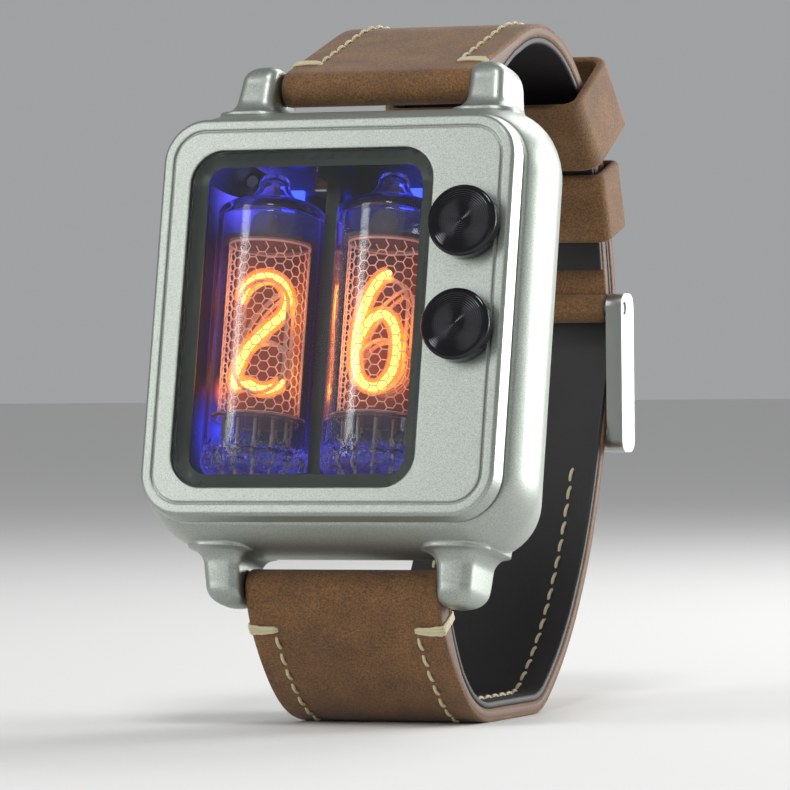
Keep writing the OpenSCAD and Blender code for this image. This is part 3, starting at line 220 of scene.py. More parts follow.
def joined(*parts):
    """Several (points, faces) as one."""
    starts = np.cumsum([0] + [len(points) for points, _ in parts])
    faces = [np.asarray(f) + start for (_, f), start in zip(parts, starts)]
    return np.concatenate([points for points, _ in parts]), np.concatenate(faces)


def rounded(half_w, half_h, r, per_corner=7):
    """Points and outward directions round rectangles of these half sizes and corner radii.

    Each corner is a quarter circle about the point that lies r inside both of its sides.
    """
    half_w, half_h, r = np.broadcast_arrays(*(np.atleast_1d(v)[:, None] for v in (half_w, half_h, r)))
    a = np.radians(np.concatenate([np.linspace(q, q + 90, per_corner) for q in (0, 90, 180, 270)]))
    sx, sy = (np.repeat(v, per_corner) for v in ([1, -1, -1, 1], [1, 1, -1, -1]))
    out = np.broadcast_to(np.stack([np.cos(a), np.sin(a)], -1), (len(r), len(a), 2))
    return np.stack([sx * (half_w - r), sy * (half_h - r)], -1) + r[..., None] * out, out


# The spring bars' middles fix the head's frame: they lie on its y axis, this far behind the face
BAR_DEPTH = 11.9
RIGHT = np.array([1.0, 0.0, 0.0])
bar_up, bar_low = (np.mean(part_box(n), axis=0) / MM for n in ("spring_bar_upper", "spring_bar_lower"))
HEAD_Y = (bar_up - bar_low) / np.linalg.norm(bar_up - bar_low)
HEAD_Z = np.array([0.0, -HEAD_Y[2], HEAD_Y[1]])
HEAD_AT = (bar_up + bar_low) / 2 + BAR_DEPTH * HEAD_Z


def head(points):
    """Points (x, y, z) of the head's frame to the part's frame: origin + x X + y Y + z Z."""
    p = np.asarray(points, float)
    return HEAD_AT + p[..., :1] * RIGHT + p[..., 1:2] * HEAD_Y + p[..., 2:3] * HEAD_Z


def at_levels(ring, levels):
    """Sections (row, point, 2) of the head's frame, each row set at its own level."""
    z = np.broadcast_to(np.asarray(levels)[:, None, None], (*ring.shape[:2], 1))
    return head(np.concatenate([ring, z], -1))


# The face, the levels of the bezel's seat and of the back, and the pocket's half sizes and corner
FACE_W, FACE_H, FACE_R = 42.3, 45.4, 4.7
SEAT_Z, BACK_Z = -2.9, -18.5
POCKET = (18.65, 20.9, 3.4)
# Left and right flanks, then upper and lower ones: bulge, the arc's radius and its widest level
SIDE_BULGE, SIDE_R, SIDE_AT = 2.47, 8.9, -8.0
END_BULGE, END_R, END_AT = 3.2, 17.0, -11.5
# From here down the left and right flanks turn under, to this far inside the face's edge
TUCK_FROM, TUCK_TO, TUCK_IN = -11.3, BACK_Z - 1, 1.0
CORNER_GROWTH = 1.3
LIP_R, HEEL_R = 0.3, 0.9
FLANK_LEVELS = 22


def case_half(z):
    """Half width, half height and corner radius of the case's outline at a level z.

    Each flank is a circle's arc, bulge - R + sqrt(R^2 - (z - widest level)^2). Below TUCK_FROM the
    left and right ones run in a straight line. The corners grow with the mean bulge.
    """
    side = lambda z: SIDE_BULGE - SIDE_R + np.sqrt(np.maximum(SIDE_R ** 2 - (z - SIDE_AT) ** 2, 0))
    under = side(TUCK_FROM) - (side(TUCK_FROM) + TUCK_IN) * (TUCK_FROM - z) / (TUCK_FROM - TUCK_TO)
    x = np.where(z > TUCK_FROM, side(z), under)
    y = END_BULGE - END_R + np.sqrt(END_R ** 2 - (z - END_AT) ** 2)
    return FACE_W / 2 + x, FACE_H / 2 + y, FACE_R + CORNER_GROWTH * (np.maximum(x, 0) + y) / 2


def case_ring():
    """The case's wall: a side view that runs down the flank and back up the pocket, carried round.

    Its upper and lower edges are quarter circles of radius LIP_R and HEEL_R.
    """
    t = np.radians(np.linspace(0, 90, 5))
    flank = np.linspace(SEAT_Z - 1, BACK_Z + HEEL_R + 0.5, FLANK_LEVELS)
    z = np.r_[SEAT_Z - LIP_R * (1 - np.cos(t)), flank, BACK_Z + HEEL_R * (1 - np.sin(t))]
    inset = np.r_[LIP_R * (1 - np.sin(t)), 0 * flank, HEEL_R * (1 - np.cos(t))]
    sizes = (np.r_[inner, outer - inset, inner] for inner, outer in zip(POCKET, case_half(z)))
    ring, _ = rounded(*sizes, per_corner=12)
    return grid(at_levels(ring, np.r_[SEAT_Z, z, BACK_Z]), close_rows=True)


# Lugs run along the head's y axis, from inside the case to LUG_REACH, with a fillet at LUG_FOOT.
# The front drops by LUG_DROP towards the tip.
LUG_FROM, LUG_REACH = 22, 31.6
LUG_FOOT, LUG_FILLET = (25, 28.4), 1.7
LUG_IN, LUG_FRONT, LUG_BACK = 12.05, 7.3, 15.9
LUG_W, LUG_W_AT = (4.8, 4.2), (24, 30.2)
LUG_DROP, LUG_DROP_L = 0.9, 7.4
LUG_TIP, LUG_CORNER = 3, 1.2
TIP_R = {"front": 2.2, "back": 3.0, "inner": 0.9, "outer": 1.9}


def lug(side, end):
    """A lug as rounded sections from inside the case out to its tip.

    Near the tip each side draws in along a circle's arc. Near the case each section swells by
    R - sqrt(R^2 - (R - d)^2), where d is the distance left to the flank, which makes a fillet.
    """
    tip = LUG_REACH - LUG_TIP + LUG_TIP * np.sin(np.radians(np.arange(4, 91, 5)))
    v = np.r_[LUG_FROM, LUG_FROM + 2, np.linspace(*LUG_FOOT, 18), tip]
    draw = {k: r - np.sqrt(r ** 2 - np.clip(v - LUG_REACH + r, 0, r) ** 2) for k, r in TIP_R.items()}
    front = LUG_FRONT + LUG_DROP * np.clip((v - LUG_FROM) / LUG_DROP_L, 0, 1) ** 2 + draw["front"]
    back = LUG_BACK - draw["back"]
    inner = LUG_IN + draw["inner"]
    outer = LUG_IN + np.interp(v, LUG_W_AT, LUG_W) - draw["outer"]
    half = (outer - inner) / 2, (back - front) / 2
    ring, out = rounded(*half, np.minimum(LUG_CORNER, 0.95 * np.minimum(*half)), 8)
    ring = ring + np.stack([(outer + inner) / 2, -(front + back) / 2], -1)[:, None]
    w, h, r = case_half(np.clip(ring[..., 1], BACK_Z, SEAT_Z))
    flank = h - r + np.sqrt(np.maximum(r ** 2 - np.clip(ring[..., 0] - w + r, 0, r) ** 2, 0))
    near = np.clip(LUG_FILLET - (v[:, None] - flank), 0, LUG_FILLET)
    ring = ring + (LUG_FILLET - np.sqrt(LUG_FILLET ** 2 - near ** 2))[..., None] * out
    y = np.broadcast_to(v[:, None], ring.shape[:2])
    return grid(head(capped(np.stack([side * ring[..., 0], end * y, ring[..., 1]], -1))))


made("case_shell", joined(case_ring(), *(lug(i, j) for i in (-1, 1) for j in (-1, 1))), blasted,
     stands_for="case_body")


# ---------- bezel seal and groove shade ---
# A moulded rubber seal lies in a groove under the bezel and is pressed flat by its screws. A thin
# black band round the case stands for its edge and for the painted shade in the groove between bezel and
# case.
SEAL_SHADE_PROUD, SEAL_SHADE_T = 0.03, 0.4
SEAL_SHADE_LEVELS = SEAT_Z + np.array([-0.02, 0.24])


def seal_and_shade_band():
    """A band along the face's outline: a rectangle's section between two levels, carried round."""
    w, h = (size / 2 + SEAL_SHADE_PROUD - SEAL_SHADE_T * np.array([0, 0, 1, 1]) for size in (FACE_W, FACE_H))
    ring, _ = rounded(w, h, FACE_R, 12)
    return grid(at_levels(ring, SEAL_SHADE_LEVELS[[0, 1, 1, 0]]), close_rows=True)


# Carbon black rubber: nearly no gloss
rubber = finish("black_rubber", "#121212", Roughness=0.8)
wear(rubber, "window_adhesive", "bezel_gasket", "back_gasket", "button_seals")
# A black band standing a little proud: the seal's edge, and painted shade in the groove
made("seal_edge_and_groove_shade", seal_and_shade_band(), rubber)


# ---------- window: glass, printed border, adhesive ----------
# A flat mineral glass is glued on a ledge of the bezel. Its border is screen printed underneath
# in dark grey, which hides the glue.

# Polished glass: clear, with a faint cold tint at its edge
glass = finish("clear_glass", "#F7FBFA", Roughness=0.0, IOR=1.45, Transmission_Weight=1.0)
wear(glass, "window_glass")
# Matt ink under the glass
border = finish("dark_grey_print", "#626963", Roughness=0.6)
wear(border, "window_mask")


# ---------- small steel: screws, clips, spring bars ----------
# Turned and hardened stainless steel, left bright. The screws hold the bezel, the back and the
# boards, the clips hold the buttons, and the spring bars carry the strap.

# Fresh from the lathe: bright, with slightly soft reflections
steel = finish("turned_steel", "#B4B4B6", Metallic=1.0, Roughness=0.3)
wear(steel, "bezel_screws", "back_screws", "board_screws", "spring_bar_upper", "spring_bar_lower",
     "bar_tip_upper_left", "bar_tip_upper_right", "bar_tip_lower_left", "bar_tip_lower_right",
     "button_clip_upper", "button_clip_lower")


# ---------- inside the case ----------
# Moulded switches with nylon plungers, dark boards with black chips and four blue lamps, and a
# foil-wrapped cell on a foam pad.

# Smooth moulded plastic: black, with a soft gloss
wear(finish("black_moulded_plastic", "#151518", Roughness=0.35), "switch_bodies")
# Lacquer over glass fibre: dark blue and even
wear(finish("dark_solder_mask", "#141B26", Roughness=0.4), "main_board", "button_board")
# Moulded epoxy: a matt charcoal
wear(finish("chip_epoxy", "#1C1B1D", Roughness=0.5), "board_chips", "hv_converter")
# Rolled aluminium foil: a dull mirror
wear(finish("cell_foil", "#A8AAAE", Metallic=1.0, Roughness=0.4), "battery")
# Open foam: pale and without gloss
wear(finish("foam_pad", "#B8B4A6", Roughness=0.9), "battery_pad")
# Undyed nylon: a warm off-white
wear(finish("white_nylon", "#D8D4C8", Roughness=0.5), "switch_plunger_upper", "switch_plunger_lower")
# Epoxy lenses lit from inside: an even, deep blue
blue_light = finish("blue_led", "#3040FF", Roughness=0.4, Emission_Color=linear("#2030FF"),
                    Emission_Strength=7.0)
wear(blue_light, "blue_leds")


# ---------- buttons ----------
# Black anodised aluminium caps on short stems, held by clips inside the case. A lathe cut fine
# rings round their tops, so that light gathers in two bright fans.
BUTTON_R, BUTTON_TOP = 4.1, 2.1
BUTTON_X, BUTTON_Y = 16.5, {"upper": 10.25, "lower": -1.6}
CAP_LOW = 0.56
EDGE_W, EDGE_H = 0.45, 0.3
CAP_EASE = 0.1
RINGS, RING_H = 15, 0.036
POINTS_PER_RING = 10


def turned(profile, around=64):
    """Grid of (radius cos a, height, radius sin a) for each (radius, height) of the profile."""
    a = np.linspace(0, 2 * np.pi, around, endpoint=False)
    r, h = np.asarray(profile, float).T
    return np.stack([r[:, None] * np.cos(a), np.broadcast_to(h[:, None], (len(r), around)),
                     r[:, None] * np.sin(a)], -1)


def ringed_cap():
    """Side view of a cap: an eased edge, a quarter ellipse, and on top |sin| of the radius."""
    flat_r, low = BUTTON_R - EDGE_W, BUTTON_TOP - RING_H
    side = [(0, CAP_LOW), (BUTTON_R - CAP_EASE, CAP_LOW), (BUTTON_R, CAP_LOW + CAP_EASE),
            (BUTTON_R, low - EDGE_H - CAP_EASE)]
    t = np.radians(np.linspace(0, 90, 6))
    edge = np.stack([flat_r + EDGE_W * np.cos(t), low - EDGE_H * (1 - np.sin(t))], -1)
    r = np.linspace(flat_r, 0, RINGS * POINTS_PER_RING + 1)
    top = np.stack([r, low + RING_H * np.abs(np.sin(np.pi * r * RINGS / flat_r))], -1)
    return np.concatenate([side, edge, top[1:]])


# Dyed anodising over turned metal: a black mirror whose rings break up its reflections
anodised = finish("black_anodised", "#38383B", Metallic=1.0, Roughness=0.08)
for which, y in BUTTON_Y.items():
    cap = turned(ringed_cap(), 96)
    cap = np.stack([BUTTON_X + cap[..., 0], y - cap[..., 2], cap[..., 1]], -1)
    made("cap_rings_" + which, grid(head(cap)), anodised, "button_%s_body" % which)
    wear(anodised, "button_" + which)


# ---------- nixie tubes ----------
# Each tube is blown glass, sealed at the foot round its leads and drawn off to a nipple at the
# top. Inside are a woven steel anode, the numerals cut from sheet, and mica spacers.
TUBE_X, TUBE_Z = {"left": -10.95, "right": 3.85}, -8.6
TUBE_R, TUBE_FOOT, WALL = 6.25, -17.2, 0.55
FOOT_T, FOOT_R = 4, 1.3
SHOULDER, SHOULDER_TURN, SHOULDER_STEP = 13.2, 62, 0.25
# The drawn-off nipple as radius and height
NECK = np.array([(3.3, 15.15), (2.75, 15.45), (2.3, 15.85), (1.98, 16.3), (1.8, 16.8),
                 (1.75, 17.3), (1.65, 17.7), (1.3, 18.02), (0.7, 18.17), (0, 18.2)])
NECK_THIN = (0.9, 0.8)


def envelope(thin):
    """Side view of the glass, thin mm inside its outer face.

    The foot is FOOT_T walls thick, with a quarter circle for a corner. The shoulder is an arc of an
    ellipse that ends where the neck starts.
    """
    r = TUBE_R - thin
    foot = TUBE_FOOT + FOOT_T * thin
    f = np.radians(np.linspace(-90, 0, 7))
    low = np.stack([r - FOOT_R * (1 - np.cos(f)), foot + FOOT_R * (1 + np.sin(f))], -1)
    a = np.radians(np.linspace(0, SHOULDER_TURN, 12))
    high = (NECK[0, 1] - SHOULDER) / np.sin(a[-1])
    wide = (TUBE_R - NECK[0, 0] - SHOULDER_STEP) / (1 - np.cos(a[-1]))
    dome = np.stack([r - wide * (1 - np.cos(a)), SHOULDER - thin + high * np.sin(a)], -1)
    return np.concatenate([[(0, foot)], low, dome, np.maximum(NECK - np.multiply(NECK_THIN, thin), 0)])


def on_tube(side, points):
    """Points (x, height, z) about a tube's own axis to the part's frame."""
    return head(np.asarray(points, float) + [TUBE_X[side], 0, TUBE_Z])


def glow(mat, sources, mask=None):
    """Painted light: emission that adds up sources (colour, strength, reach mm, places).

    Each gives strength * (1 - distance / reach) ** 2 about the nearest of its places. The mask, an
    output from 0 to 1, scales the sum.
    """
    here = add_node(mat, "TexCoord").outputs["Object"]
    total = None
    for colour, power, reach, places in sources:
        nearest = None
        for place in (head(places) * MM).tolist():
            far = add_node(mat, "VectorMath", {0: here, 1: place}, operation="DISTANCE").outputs["Value"]
            if nearest is not None:
                far = add_node(mat, "Math", {0: nearest, 1: far}, operation="MINIMUM").outputs[0]
            nearest = far
        near = {"Value": nearest, "From Max": reach * MM, "To Min": 1.0, "To Max": 0.0}
        near = add_node(mat, "MapRange", near).outputs["Result"]
        square = add_node(mat, "Math", {0: near, 1: 2.0}, operation="POWER").outputs[0]
        level = add_node(mat, "Math", {0: square, 1: power}, operation="MULTIPLY").outputs[0]
        lit = {0: linear(colour)[:3], "Scale": level}
        lit = add_node(mat, "VectorMath", lit, operation="SCALE").outputs["Vector"]
        if total is not None:
            lit = add_node(mat, "VectorMath", {0: total, 1: lit}, operation="ADD").outputs["Vector"]
        total = lit
    if mask is not None:
        total = add_node(mat, "VectorMath", {0: total, "Scale": mask}, operation="SCALE").outputs["Vector"]
    feed(mat, "Emission Color", total)
    shader_of(mat).inputs["Emission Strength"].default_value = 1.0


# Numerals as points in halves of their width and height. The six is narrower by a factor, and
# DIGIT_Z is how far each sheet stands in front of its tube's axis.
TWO = [(-0.98, 0.52), (-0.9, 0.76), (-0.5, 0.96), (0, 1.0), (0.55, 0.9), (0.9, 0.62), (0.72, 0.32),
       (0.1, 0.06), (-0.6, -0.28), (-0.96, -0.66), (-1.0, -0.92), (-0.5, -0.9), (0, -1.0),
       (0.5, -0.98), (0.95, -0.86)]
SIX = [(0.42, 1.0), (-0.1, 0.86), (-0.6, 0.5), (-0.92, 0.02), (-0.98, -0.4), (-0.8, -0.8),
       (-0.3, -1.0), (0.3, -0.98), (0.8, -0.72), (0.92, -0.3), (0.7, 0.08), (0.2, 0.26),
       (-0.35, 0.16), (-0.75, -0.1), (-0.92, -0.38)]
DIGIT_Y, DIGIT_W, DIGIT_H = -0.4, 6.6, 13.6
SIX_NARROWER = 0.86
DIGIT_Z = {"left": 0.2, "right": 1.75}
STROKE_R, NEON_R = 0.2, 0.45
HALO_R, HALO_ALPHA = 1.0, 0.6

# Centres of the painted glows, which stand in for light: the blue lamps behind the tubes' ends, the
# tubes' middles, the numerals, and the glass's left edges, which carry the blue lamps' light
LED_Y, LED_Z = (17.2, -19.85), -15.0
led_places = [(x, y, LED_Z) for x in TUBE_X.values() for y in LED_Y]
tube_places = [(x, y, TUBE_Z + 2) for x in TUBE_X.values() for y in (-6, -2, 2, 6)]
near_numerals = [(TUBE_X[side] + x * DIGIT_W / 2, DIGIT_Y + y * DIGIT_H / 2, TUBE_Z + 1)
                 for side, numeral in (("left", TWO), ("right", SIX)) for x, y in numeral[::2]]
left_edges = [(TUBE_X[side] - TUBE_R, y, TUBE_Z - 2)
              for side, heights in (("left", (13, 6, -1, -14)), ("right", (13, -14))) for y in heights]

# Soft soda glass with a painted glow for the lamps' and the neon's light: strong where it is seen edge on,
# and a trace of it elsewhere
RIM_POWER, LEAST_GLOW = 4.5, 0.025
tube_glass = finish("tube_glass", "#F6F8FF", Roughness=0.0, IOR=1.47, Transmission_Weight=1.0)
edge_on = add_node(tube_glass, "LayerWeight", {"Blend": 0.4}).outputs["Facing"]
rim = add_node(tube_glass, "Math", {0: edge_on, 1: RIM_POWER}, operation="POWER").outputs[0]
glow_share = add_node(tube_glass, "MapRange", {"Value": rim, "To Min": LEAST_GLOW}).outputs["Result"]
glow(tube_glass, [("#7078FF", 2.4, 10, led_places), ("#5A3CF0", 1.9, 7, left_edges),
                  ("#4028D0", 0.35, 42, led_places), ("#FF5A1E", 0.8, 9, tube_places)], glow_share)
# Near the foot the glass was pinched while it was soft, which left lumps 0.9 mm wide
LUMP, LUMP_H = 0.9, 0.5
PINCHED, SMOOTH = 1.6, 4.2
foot_level = float(head((0, TUBE_FOOT, TUBE_Z)) @ HEAD_Y)
here = add_node(tube_glass, "TexCoord").outputs["Object"]
along = add_node(tube_glass, "VectorMath", {0: here, 1: HEAD_Y.tolist()}, operation="DOT_PRODUCT")
pinched = add_node(tube_glass, "MapRange", {
    "Value": along.outputs["Value"], "From Min": (foot_level + PINCHED) * MM,
    "From Max": (foot_level + SMOOTH) * MM, "To Min": 1.0, "To Max": 0.0})
lumps = add_node(tube_glass, "Bump", {"Height": blots(tube_glass, LUMP, 1.0), "Distance": LUMP_H * MM,
                                      "Strength": pinched.outputs["Result"]})
feed(tube_glass, "Normal", lumps.outputs["Normal"])

# Fine steel wire with a dull skin: pale, with a painted pink and orange glow where the neon would light it
mesh_wire = finish("woven_steel", "#E6D2CC", Metallic=0.3, Roughness=0.4)
glow(mesh_wire, [("#FFA898", 0.3, 60, tube_places), ("#FFA050", 1.1, 5.5, near_numerals)])
# Sheet darkened by heat, with a painted dull red glow behind the numerals for the neon's light
anode_back = finish("oxidised_anode_back", "#4A2A2A", Roughness=0.5)
glow(anode_back, [("#C04030", 0.2, 14, tube_places), ("#FF7020", 1.1, 7, near_numerals)])
# Neon glows yellow-orange close round the lit numeral, and a deeper orange further out
neon = finish("neon_glow", "#FF9A30", Roughness=0.5, Emission_Color=linear("#FFC050"),
              Emission_Strength=9.0)
halo = finish("neon_halo", "#FF6A18", Roughness=1.0, Emission_Color=linear("#FF7A20"),
              Emission_Strength=2.6)
facing = add_node(halo, "LayerWeight", {"Blend": 0.5}).outputs["Facing"]
clear = add_node(halo, "MapRange", {"Value": facing, "To Min": HALO_ALPHA, "To Max": 0.0})
feed(halo, "Alpha", clear.outputs["Result"])

ANODE_R, ANODE_TOP, ANODE_FOOT = 4.65, 9.6, -10.5
HEX_COLUMNS = 28
HEX_SIDE = 2 * np.pi * ANODE_R / HEX_COLUMNS / 1.5
# The net's wire, and how far its pieces lap at a crossing as a share of it
WIRE, LAP = 0.14, 0.3
HOOP_T, HOOP_PROUD, HOOP_TOP, HOOP_FOOT = 0.12, 0.1, (-0.1, 0.12), (0, 0.25)
BACK_T, BACK_IN = 0.15, 0.1


def hex_net():
    """Ribbons along every edge of a six-sided net rolled round a cylinder.

    Column c stands at 1.5 sides times c and every second column is half a cell higher. Each cell
    gives its lower edge and the two edges at its right.
    """
    tall = np.sqrt(3) * HEX_SIDE
    rows = int((ANODE_TOP - ANODE_FOOT) / tall)
    c, r = (v.ravel() for v in np.meshgrid(np.arange(HEX_COLUMNS), np.arange(rows), indexing="ij"))
    middle = np.stack([1.5 * HEX_SIDE * c, ANODE_FOOT + tall * (r + 0.5 + 0.5 * (c % 2))], -1)
    x, y = HEX_SIDE / 2, tall / 2
    corner = np.array([(-x, -y), (x, -y), (2 * x, 0), (x, y)])
    starts = (middle[:, None] + corner[:3]).reshape(-1, 2)
    ends = (middle[:, None] + corner[1:]).reshape(-1, 2)
    along = (ends - starts) / np.linalg.norm(ends - starts, axis=1, keepdims=True)
    across = np.stack([-along[:, 1], along[:, 0]], -1) * WIRE / 2
    starts, ends = starts - along * WIRE * LAP, ends + along * WIRE * LAP
    section = [(1, 0), (0.4, 0.5), (-0.4, 0.5), (-1, 0), (-0.4, -0.5), (0.4, -0.5)]
    points = []
    for end in (starts, ends):
        for k, out in section:
            q = end + across * k
            a, r = q[:, 0] / ANODE_R, ANODE_R + out * WIRE
            points.append(np.stack([r * np.sin(a), q[:, 1], r * np.cos(a)], -1))
    n = len(section)
    faces = [[k, n + k, n + (k + 1) % n, (k + 1) % n] for k in range(n)]
    faces += [[0, 1, 2, 3], [0, 3, 4, 5], [9, 8, 7, 6], [11, 10, 9, 6]]
    first = 2 * n * np.arange(len(starts))[:, None, None]
    return np.stack(points, 1).reshape(-1, 3), (first + faces).reshape(-1, 4)


def hoop(levels):
    """A thin band round the anode between two levels."""
    r = ANODE_R + HOOP_PROUD - HOOP_T * np.array([1, 0, 0, 1])
    return grid(turned(np.column_stack([r, np.repeat(levels, 2)])), True)


def half_sleeve(radius, low, high):
    """The back half of a thin sleeve round the tube's axis, a little less than half a turn."""
    a = np.radians(np.linspace(100, 260, 24))[:, None]
    r = radius - BACK_T * np.array([1, 0, 0, 1])
    level = np.broadcast_to([low, low, high, high], (len(a), 4))
    return grid(capped(np.stack([r * np.sin(a), level, r * np.cos(a)], -1)))


def tube_along(path, radius, up):
    """A round thread along points in space, with round ends. It needs a direction up off its own.

    A ring stands at each point, square to the path. At the first and last point its radius is 0.4
    of the full one, and it grows to the full one along a quarter circle over two steps.
    """
    path = np.asarray(path, float)
    t = np.gradient(path, axis=0)
    t /= np.linalg.norm(t, axis=1, keepdims=True)
    n = np.cross(t, up)
    n /= np.linalg.norm(n, axis=1, keepdims=True)
    m = np.cross(t, n)
    count = np.arange(len(path))
    ends = np.clip(np.minimum(count, count[::-1]) / 2, 0, 1)
    size = radius * (0.4 + 0.6 * np.sqrt(1 - (1 - ends) ** 2))
    a = np.linspace(0, 2 * np.pi, 10, endpoint=False)
    ring = np.cos(a)[:, None] * n[:, None] + np.sin(a)[:, None] * m[:, None]
    return grid(capped(path[:, None] + size[:, None, None] * ring))


def smooth_line(points, count=60):
    """A smooth curve through these points, at even steps of its parameter.

    Between two points it is a cubic, and its slope at each point is half the way from the point
    before it to the one after. A point is added past each end, as far as its neighbour is before.
    """
    p = np.asarray(points, float)
    p = np.concatenate([2 * p[:1] - p[1:2], p, 2 * p[-1:] - p[-2:-1]])
    t = np.linspace(0, len(p) - 3 - 1e-6, count)
    k, f = t.astype(int), (t % 1)[:, None]
    a, b, c, d = (p[k + n] for n in range(4))
    square, cube = 2 * a - 5 * b + 4 * c - d, 3 * b - a - 3 * c + d
    return (2 * b + (c - a) * f + square * f ** 2 + cube * f ** 3) / 2


for side, numeral, narrow in (("left", TWO, 1.0), ("right", SIX, SIX_NARROWER)):
    outer, inner = (grid(on_tube(side, turned(envelope(thin), 72))) for thin in (0, WALL))
    made("envelope_" + side, joined(outer, (inner[0], inner[1][:, ::-1])), tube_glass,
         stands_for="tube_glass_" + side)
    back, back_faces = half_sleeve(ANODE_R - BACK_IN, ANODE_FOOT + BACK_IN, ANODE_TOP - BACK_T)
    made("anode_back_" + side, (on_tube(side, back), back_faces), anode_back)
    net, net_faces = joined(hex_net(), *(hoop(end + np.array(levels)) for end, levels in (
        (ANODE_TOP, HOOP_TOP), (ANODE_FOOT, HOOP_FOOT))))
    made("woven_anode_" + side, (on_tube(side, net), net_faces), mesh_wire,
         stands_for="anode_mesh_" + side)
    half = [narrow * (DIGIT_W / 2 - STROKE_R), DIGIT_H / 2 - STROKE_R]
    line = smooth_line(numeral) * half + [0, DIGIT_Y]
    path = on_tube(side, np.column_stack([line, np.full(len(line), DIGIT_Z[side])]))
    made("glowing_numeral_" + side, tube_along(path, NEON_R, HEAD_Z), neon,
         stands_for="lit_digit_" + side)
    made("neon_round_numeral_" + side, tube_along(path, HALO_R, HEAD_Z), halo)


# ---------- inside the tubes and behind them ----------
# Numerals that are not lit, mica spacers and nickel leads. The moulded frame behind the tubes is
# glossy black, with painted glows standing in for the light of the blue lamps at its ends.

# Split mica: a clear sheet with a pink-grey cast
mica = finish("mica_disc", "#BFB0B0", Roughness=0.12, Transmission_Weight=0.8)
wear(mica, "tube_spacers_left", "tube_spacers_right")
# Drawn nickel with a dull skin from the sealing flame
nickel = finish("nickel_wire", "#C8B8B0", Metallic=0.3, Roughness=0.42)
wear(nickel, "tube_leads_left", "tube_leads_right", "cathode_stack_left", "cathode_stack_right")
# Glossy black plastic with painted light: its left wall has a painted blue glow near the lamps at both
# ends, a painted orange spot above the lower one, a painted purple cast between them and a painted red cast
# near the tubes
wall_top, wall_middle = [(-16.9, 16.9, -11.5)], [(-17.0, 5.0, -11.0)]
wall_spot, wall_low = [(-17.3, -6.9, -10.3)], [(-17.3, -11.5, -10.4)]
frame_painted_glow = finish("lamp_lit_plastic", "#141318", Roughness=0.22)
glow(frame_painted_glow, [("#3038FF", 0.25, 6, led_places), ("#5A50FF", 2.0, 7.5, wall_top),
                ("#3C40FF", 1.3, 6.5, wall_low), ("#FF5A1C", 2.2, 2.2, wall_spot),
                ("#5A1C50", 0.2, 14, wall_middle), ("#B02818", 0.35, 9, tube_places)])
wear(frame_painted_glow, "inner_frame")


def block(low, high, ease=0.15):
    """A box between two corners of the head's frame, its upright edges and top edge eased."""
    size, middle = (np.array(high) - low) / 2, (np.array(high) + low) / 2
    inset = np.array([0, 0, 0.3, 1.0]) * ease
    ring, _ = rounded(size[0] - inset, size[1] - inset, ease, 4)
    levels = [low[2], high[2] - ease, high[2] - 0.3 * ease, high[2]]
    return grid(capped(at_levels(ring + middle[:2], levels)))


# A chip capacitor stands between the tubes' tips: matt brown ceramic with dull tinned ends
CHIP_X, CHIP_Y, CHIP_Z = (-7.1, -4.9), (17.4, 19.2), (-14.5, -11.3)
CHIP_ENDS_Y = ((16.8, 17.42), (19.18, 19.5))
TIN_T = 0.05
capacitor = finish("capacitor_brown", "#7A4A48", Roughness=0.4)
tinned = finish("tinned_end", "#B9B2AC", Metallic=1.0, Roughness=0.35)
made("chip_capacitor", block(*zip(CHIP_X, CHIP_Y, CHIP_Z)), capacitor)
made("chip_capacitor_ends", joined(*(
    block((CHIP_X[0] - TIN_T, low, CHIP_Z[0]), (CHIP_X[1] + TIN_T, high, CHIP_Z[1] + TIN_T))
    for low, high in CHIP_ENDS_Y)), tinned)


# ---------- button springs ----------
# A short coil of spring wire under each cap. Its foot stands in the case.
SPRING_TURNS = 3
SPRING_WIRE_R = 0.175


def coil(node):
    """A helix that fills a CAD sleeve: radius (cos a, sin a), with a height that grows as a does.

    Returns its mesh in mm, and its foot and head in metres.
    """
    lo, hi = (np.array(v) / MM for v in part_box(node))
    middle = (lo + hi) / 2
    sleeve_r = hi[0] - middle[0]
    tall = ((hi - lo)[1] - 2 * sleeve_r * HEAD_Y[1]) / -HEAD_Z[1]
    a = np.linspace(0, 2 * np.pi * SPRING_TURNS, 24 * SPRING_TURNS + 1)[:, None]
    rise = (a / a[-1] - 0.5) * (tall - 2 * SPRING_WIRE_R)
    path = middle + (sleeve_r - SPRING_WIRE_R) * (np.cos(a) * RIGHT + np.sin(a) * HEAD_Y) + rise * HEAD_Z
    return tube_along(path, SPRING_WIRE_R, HEAD_Z), *((middle + k * tall / 2 * HEAD_Z) * MM for k in (-1, 1))


for which in BUTTON_Y:
    shape, foot, top = coil("button_spring_" + which)
    spring = made("spring_wire_" + which, shape, steel, None, "button_spring_" + which)
    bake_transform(spring)


# ---------- strap ----------
# Brown nubuck cowhide glued and sewn to a black lining. The hide is folded round the spring bar
# at each lug and skived down from there. Its cut edges are rounded and painted.
LEATHER, LINING = 1.6, 0.75
STRAP_T = LEATHER + LINING
STRAP_W, STRAP_END_W = 23.7, 22.0
EVEN_L, TAPER_L = 14, 48
# The fold round a spring bar, the hole in it, and the length over which it is skived down
FOLD_R, FOLD_HOLE, SKIVE = 2.1, 0.95, 13.0
# Where the lining starts and how far before the buckle it stops, how much narrower it is than the
# hide, and how far it is sunk into it
LINING_FROM, LINING_STOP, LINING_IN, LINING_LAP = 4.5, 4.8, 0.1, 0.05
# The painted edge stands this proud, and keeps this far from the hide's outer and inner face
PAINT_PROUD, PAINT_TOP, PAINT_LOW = 0.04, 0.25, 0.12
# The buckle's end: a fold round its bar, with a notch for the tongue
BUCKLE_FOLD_R, BUCKLE_HOLE, NOTCH = 1.7, 0.85, 1.3
